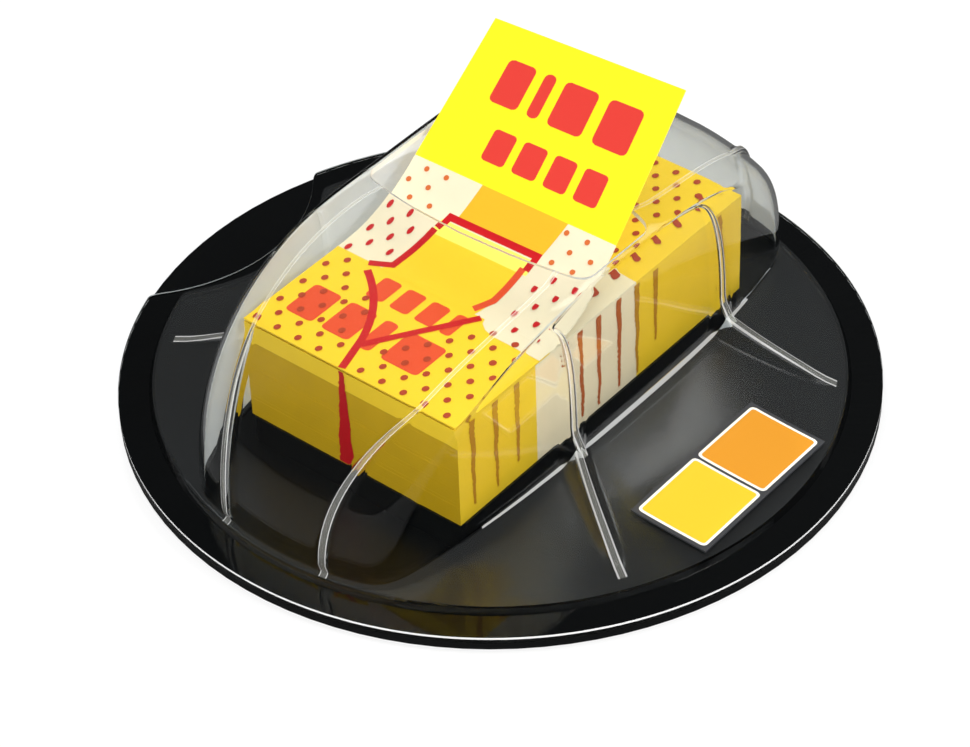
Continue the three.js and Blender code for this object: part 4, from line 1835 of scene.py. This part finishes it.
def seen_directly(tree: bpy.types.NodeTree, rays: bpy.types.Node) -> bpy.types.NodeSocket:
    """Share of a ray that looks straight from the camera or through clear plastic.

    Args:
        tree: node tree.
        rays: its Light Path node.

    Returns:
        The socket, 1 for such a ray and 0 for one that has met another surface.
    """
    out = rays.outputs
    straight = add_node(
        tree, "ShaderNodeMath", {0: out["Is Camera Ray"], 1: out["Is Transmission Ray"]}, operation="MAXIMUM"
    )
    bounces = add_node(
        tree, "ShaderNodeMath", {0: out["Diffuse Depth"], 1: out["Glossy Depth"]}, operation="ADD"
    )
    direct = add_node(
        tree, "ShaderNodeMath", {1: bounces.outputs[0]}, {0: 1.0}, operation="SUBTRACT", use_clamp=True
    )
    both = add_node(
        tree, "ShaderNodeMath", {0: straight.outputs[0], 1: direct.outputs[0]}, operation="MULTIPLY"
    )
    return both.outputs[0]


@dataclass(frozen=True)
class Lamp:
    """Soft box aimed at the object.

    Attributes:
        name: what it does.
        place: where it stands, in mm.
        size: its width and height, in mm.
        energy: its power, in watts.
        mirrored: True if glossy and clear surfaces mirror it.
    """

    name: str
    place: tuple[float, float, float]
    size: Pair
    energy: float
    mirrored: bool = False


# Lamps that nothing mirrors, and one behind that leaves a sheen on the right skirt
LAMPS = (
    Lamp("key", (300, 60, 240), (120, 120), 0.95),
    Lamp("top", (30, -110, 400), (260, 260), 0.98),
    Lamp("rim", (-260, 220, 120), (60, 200), 1.3),
    Lamp("fill", (90, -280, 90), (160, 160), 0.5),
    Lamp("sheen", (-50, 230, 320), (90, 90), 0.045, mirrored=True),
)


@dataclass
class Studio:
    """Floor, light and camera."""

    floor_size: float = 4.0
    floor_roughness: float = 0.9
    floor_pale: float = 0.85
    floor_mirrored: float = 0.1
    floor_white: float = 0.86
    world_light: float = 0.35
    world_shine: float = 0.06
    bounces: int = 12
    clear_bounces: int = 10

    def floor(self) -> None:
        """Pale floor, white to the camera and dim in reflections, that keeps the object's shadow."""
        half = self.floor_size / 2 / MM
        corners = [(-half, -half, 0), (half, -half, 0), (half, half, 0), (-half, half, 0)]
        material, tree, shader = new_material("white_paper_sweep", "FFFFFF", self.floor_roughness)
        glow = add_node(tree, "ShaderNodeEmission", values={"Color": (1.0, 1.0, 1.0, 1.0), "Strength": 1.0})
        rays = add_node(tree, "ShaderNodeLightPath")
        paleness = add_node(
            tree,
            "ShaderNodeMapRange",
            {"Value": rays.outputs["Is Glossy Ray"]},
            {"To Min": self.floor_pale, "To Max": self.floor_mirrored},
        )
        tree.links.new(paleness.outputs["Result"], shader.inputs["Base Color"])
        seen = {0: seen_directly(tree, rays)}
        share = add_node(tree, "ShaderNodeMath", seen, {1: self.floor_white}, operation="MULTIPLY")
        sides = {"Fac": share.outputs[0], 1: shader.outputs["BSDF"], 2: glow.outputs["Emission"]}
        mix = add_node(tree, "ShaderNodeMixShader", sides)
        tree.links.new(mix.outputs["Shader"], tree.nodes["Material Output"].inputs["Surface"])
        mesh_object("studio_floor", corners, [(0, 1, 2, 3)], [material])

    def world(self) -> None:
        """White to the camera and through clear plastic, dimmer in reflections and as light."""
        world = bpy.data.worlds.new("studio")
        bpy.context.scene.world = world
        world.use_nodes = True
        tree = world.node_tree
        background = tree.nodes["Background"]
        rays = add_node(tree, "ShaderNodeLightPath")
        seen = seen_directly(tree, rays)
        unseen = add_node(
            tree,
            "ShaderNodeMapRange",
            {"Value": rays.outputs["Is Glossy Ray"]},
            {"To Min": self.world_light, "To Max": self.world_shine},
        )
        strength = add_node(
            tree,
            "ShaderNodeMapRange",
            {"Value": seen, "To Min": unseen.outputs["Result"]},
            {"To Max": 1.0},
        )
        background.inputs["Color"].default_value = (1.0, 1.0, 1.0, 1.0)
        tree.links.new(strength.outputs["Result"], background.inputs["Strength"])

    def light(self, lamp: Lamp) -> None:
        """Sets up a lamp.

        Args:
            lamp: the lamp.
        """
        data = bpy.data.lights.new(lamp.name, "AREA")
        data.shape = "RECTANGLE"
        data.size, data.size_y = lamp.size[0] * MM, lamp.size[1] * MM
        data.energy = lamp.energy
        made = bpy.data.objects.new(lamp.name, data)
        made.location = Vector(lamp.place) * MM
        made.rotation_euler = (-made.location).to_track_quat("-Z", "Y").to_euler()
        made.visible_glossy = lamp.mirrored
        made.visible_transmission = lamp.mirrored
        bpy.context.scene.collection.objects.link(made)

    def camera(self) -> None:
        """Camera at the photograph's place."""
        azimuth, elevation, roll = (math.radians(a) for a in (CAMERA_AZIMUTH, CAMERA_ELEVATION, CAMERA_ROLL))
        back = Vector((
            math.sin(azimuth) * math.cos(elevation),
            -math.cos(azimuth) * math.cos(elevation),
            math.sin(elevation),
        ))
        right = Vector((math.cos(azimuth), math.sin(azimuth), 0.0))
        up = back.cross(right)
        rolled_right = right * math.cos(roll) + up * math.sin(roll)
        rolled_up = up * math.cos(roll) - right * math.sin(roll)
        data = bpy.data.cameras.new("camera")
        data.sensor_fit, data.sensor_width, data.lens = "HORIZONTAL", SENSOR_WIDTH, CAMERA_LENS
        data.clip_start, data.clip_end = CLIP_START, CLIP_END
        made = bpy.data.objects.new("camera", data)
        place = (Vector(CAMERA_TARGET) + back * CAMERA_DISTANCE) * MM
        turn = Matrix((rolled_right, rolled_up, back)).transposed()
        made.matrix_world = Matrix.Translation(place) @ turn.to_4x4()
        bpy.context.scene.collection.objects.link(made)
        bpy.context.scene.camera = made

    def build(self) -> None:
        """Makes the whole stage and sets the picture's size and colours."""
        self.floor()
        self.world()
        for lamp in LAMPS:
            self.light(lamp)
        self.camera()
        scene = bpy.context.scene
        scene.render.resolution_x, scene.render.resolution_y = PHOTO_WIDTH, PHOTO_HEIGHT
        scene.view_settings.view_transform = "Standard"
        scene.cycles.transmission_bounces = self.clear_bounces
        scene.cycles.max_bounces = self.bounces
        scene.cycles.transparent_max_bounces = self.clear_bounces


def dress_node(node: bpy.types.Object, material: bpy.types.Material) -> None:
    """Puts a material on every slot of a CAD node."""
    for slot in node.material_slots:
        slot.material = material


def ride_root(pieces: Iterable[bpy.types.Object]) -> None:
    """Lets pieces ride with the part.

    Args:
        pieces: the pieces.
    """
    for piece in pieces:
        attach(piece, "root")
        log.info("%s: %d faces", piece.name, len(piece.data.polygons))


def main() -> None:
    """Builds the scene piece by piece."""
    logging.basicConfig(level=logging.INFO)
    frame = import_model()
    palette = Palette()
    sizes = FlagSizes()
    nodes = frame["nodes"]
    dress_node(nodes["base_tray"], palette.get("base"))
    dress_node(nodes["grip_pad"], palette.get("grip"))
    dress_node(nodes["skirt_sticker"], palette.get("sticker_dark"))
    pattern = DotPattern()
    raised = RaisedFlag(sizes, palette)
    following = NextFlag(sizes, palette)
    pad = FlagPad(sizes, palette)
    ride_root([ClearCover().build(palette)])
    ride_root([raised.sheet(), raised.fields(), *raised.dots(pattern)])
    ride_root([following.sheet(), *following.dots(pattern)])
    ride_root([pad.stack(), *pad.marks()])
    ride_root([Sticker(palette, nodes["skirt_sticker"]).build()])
    Studio().build()


if __name__ == "__main__":
    main()
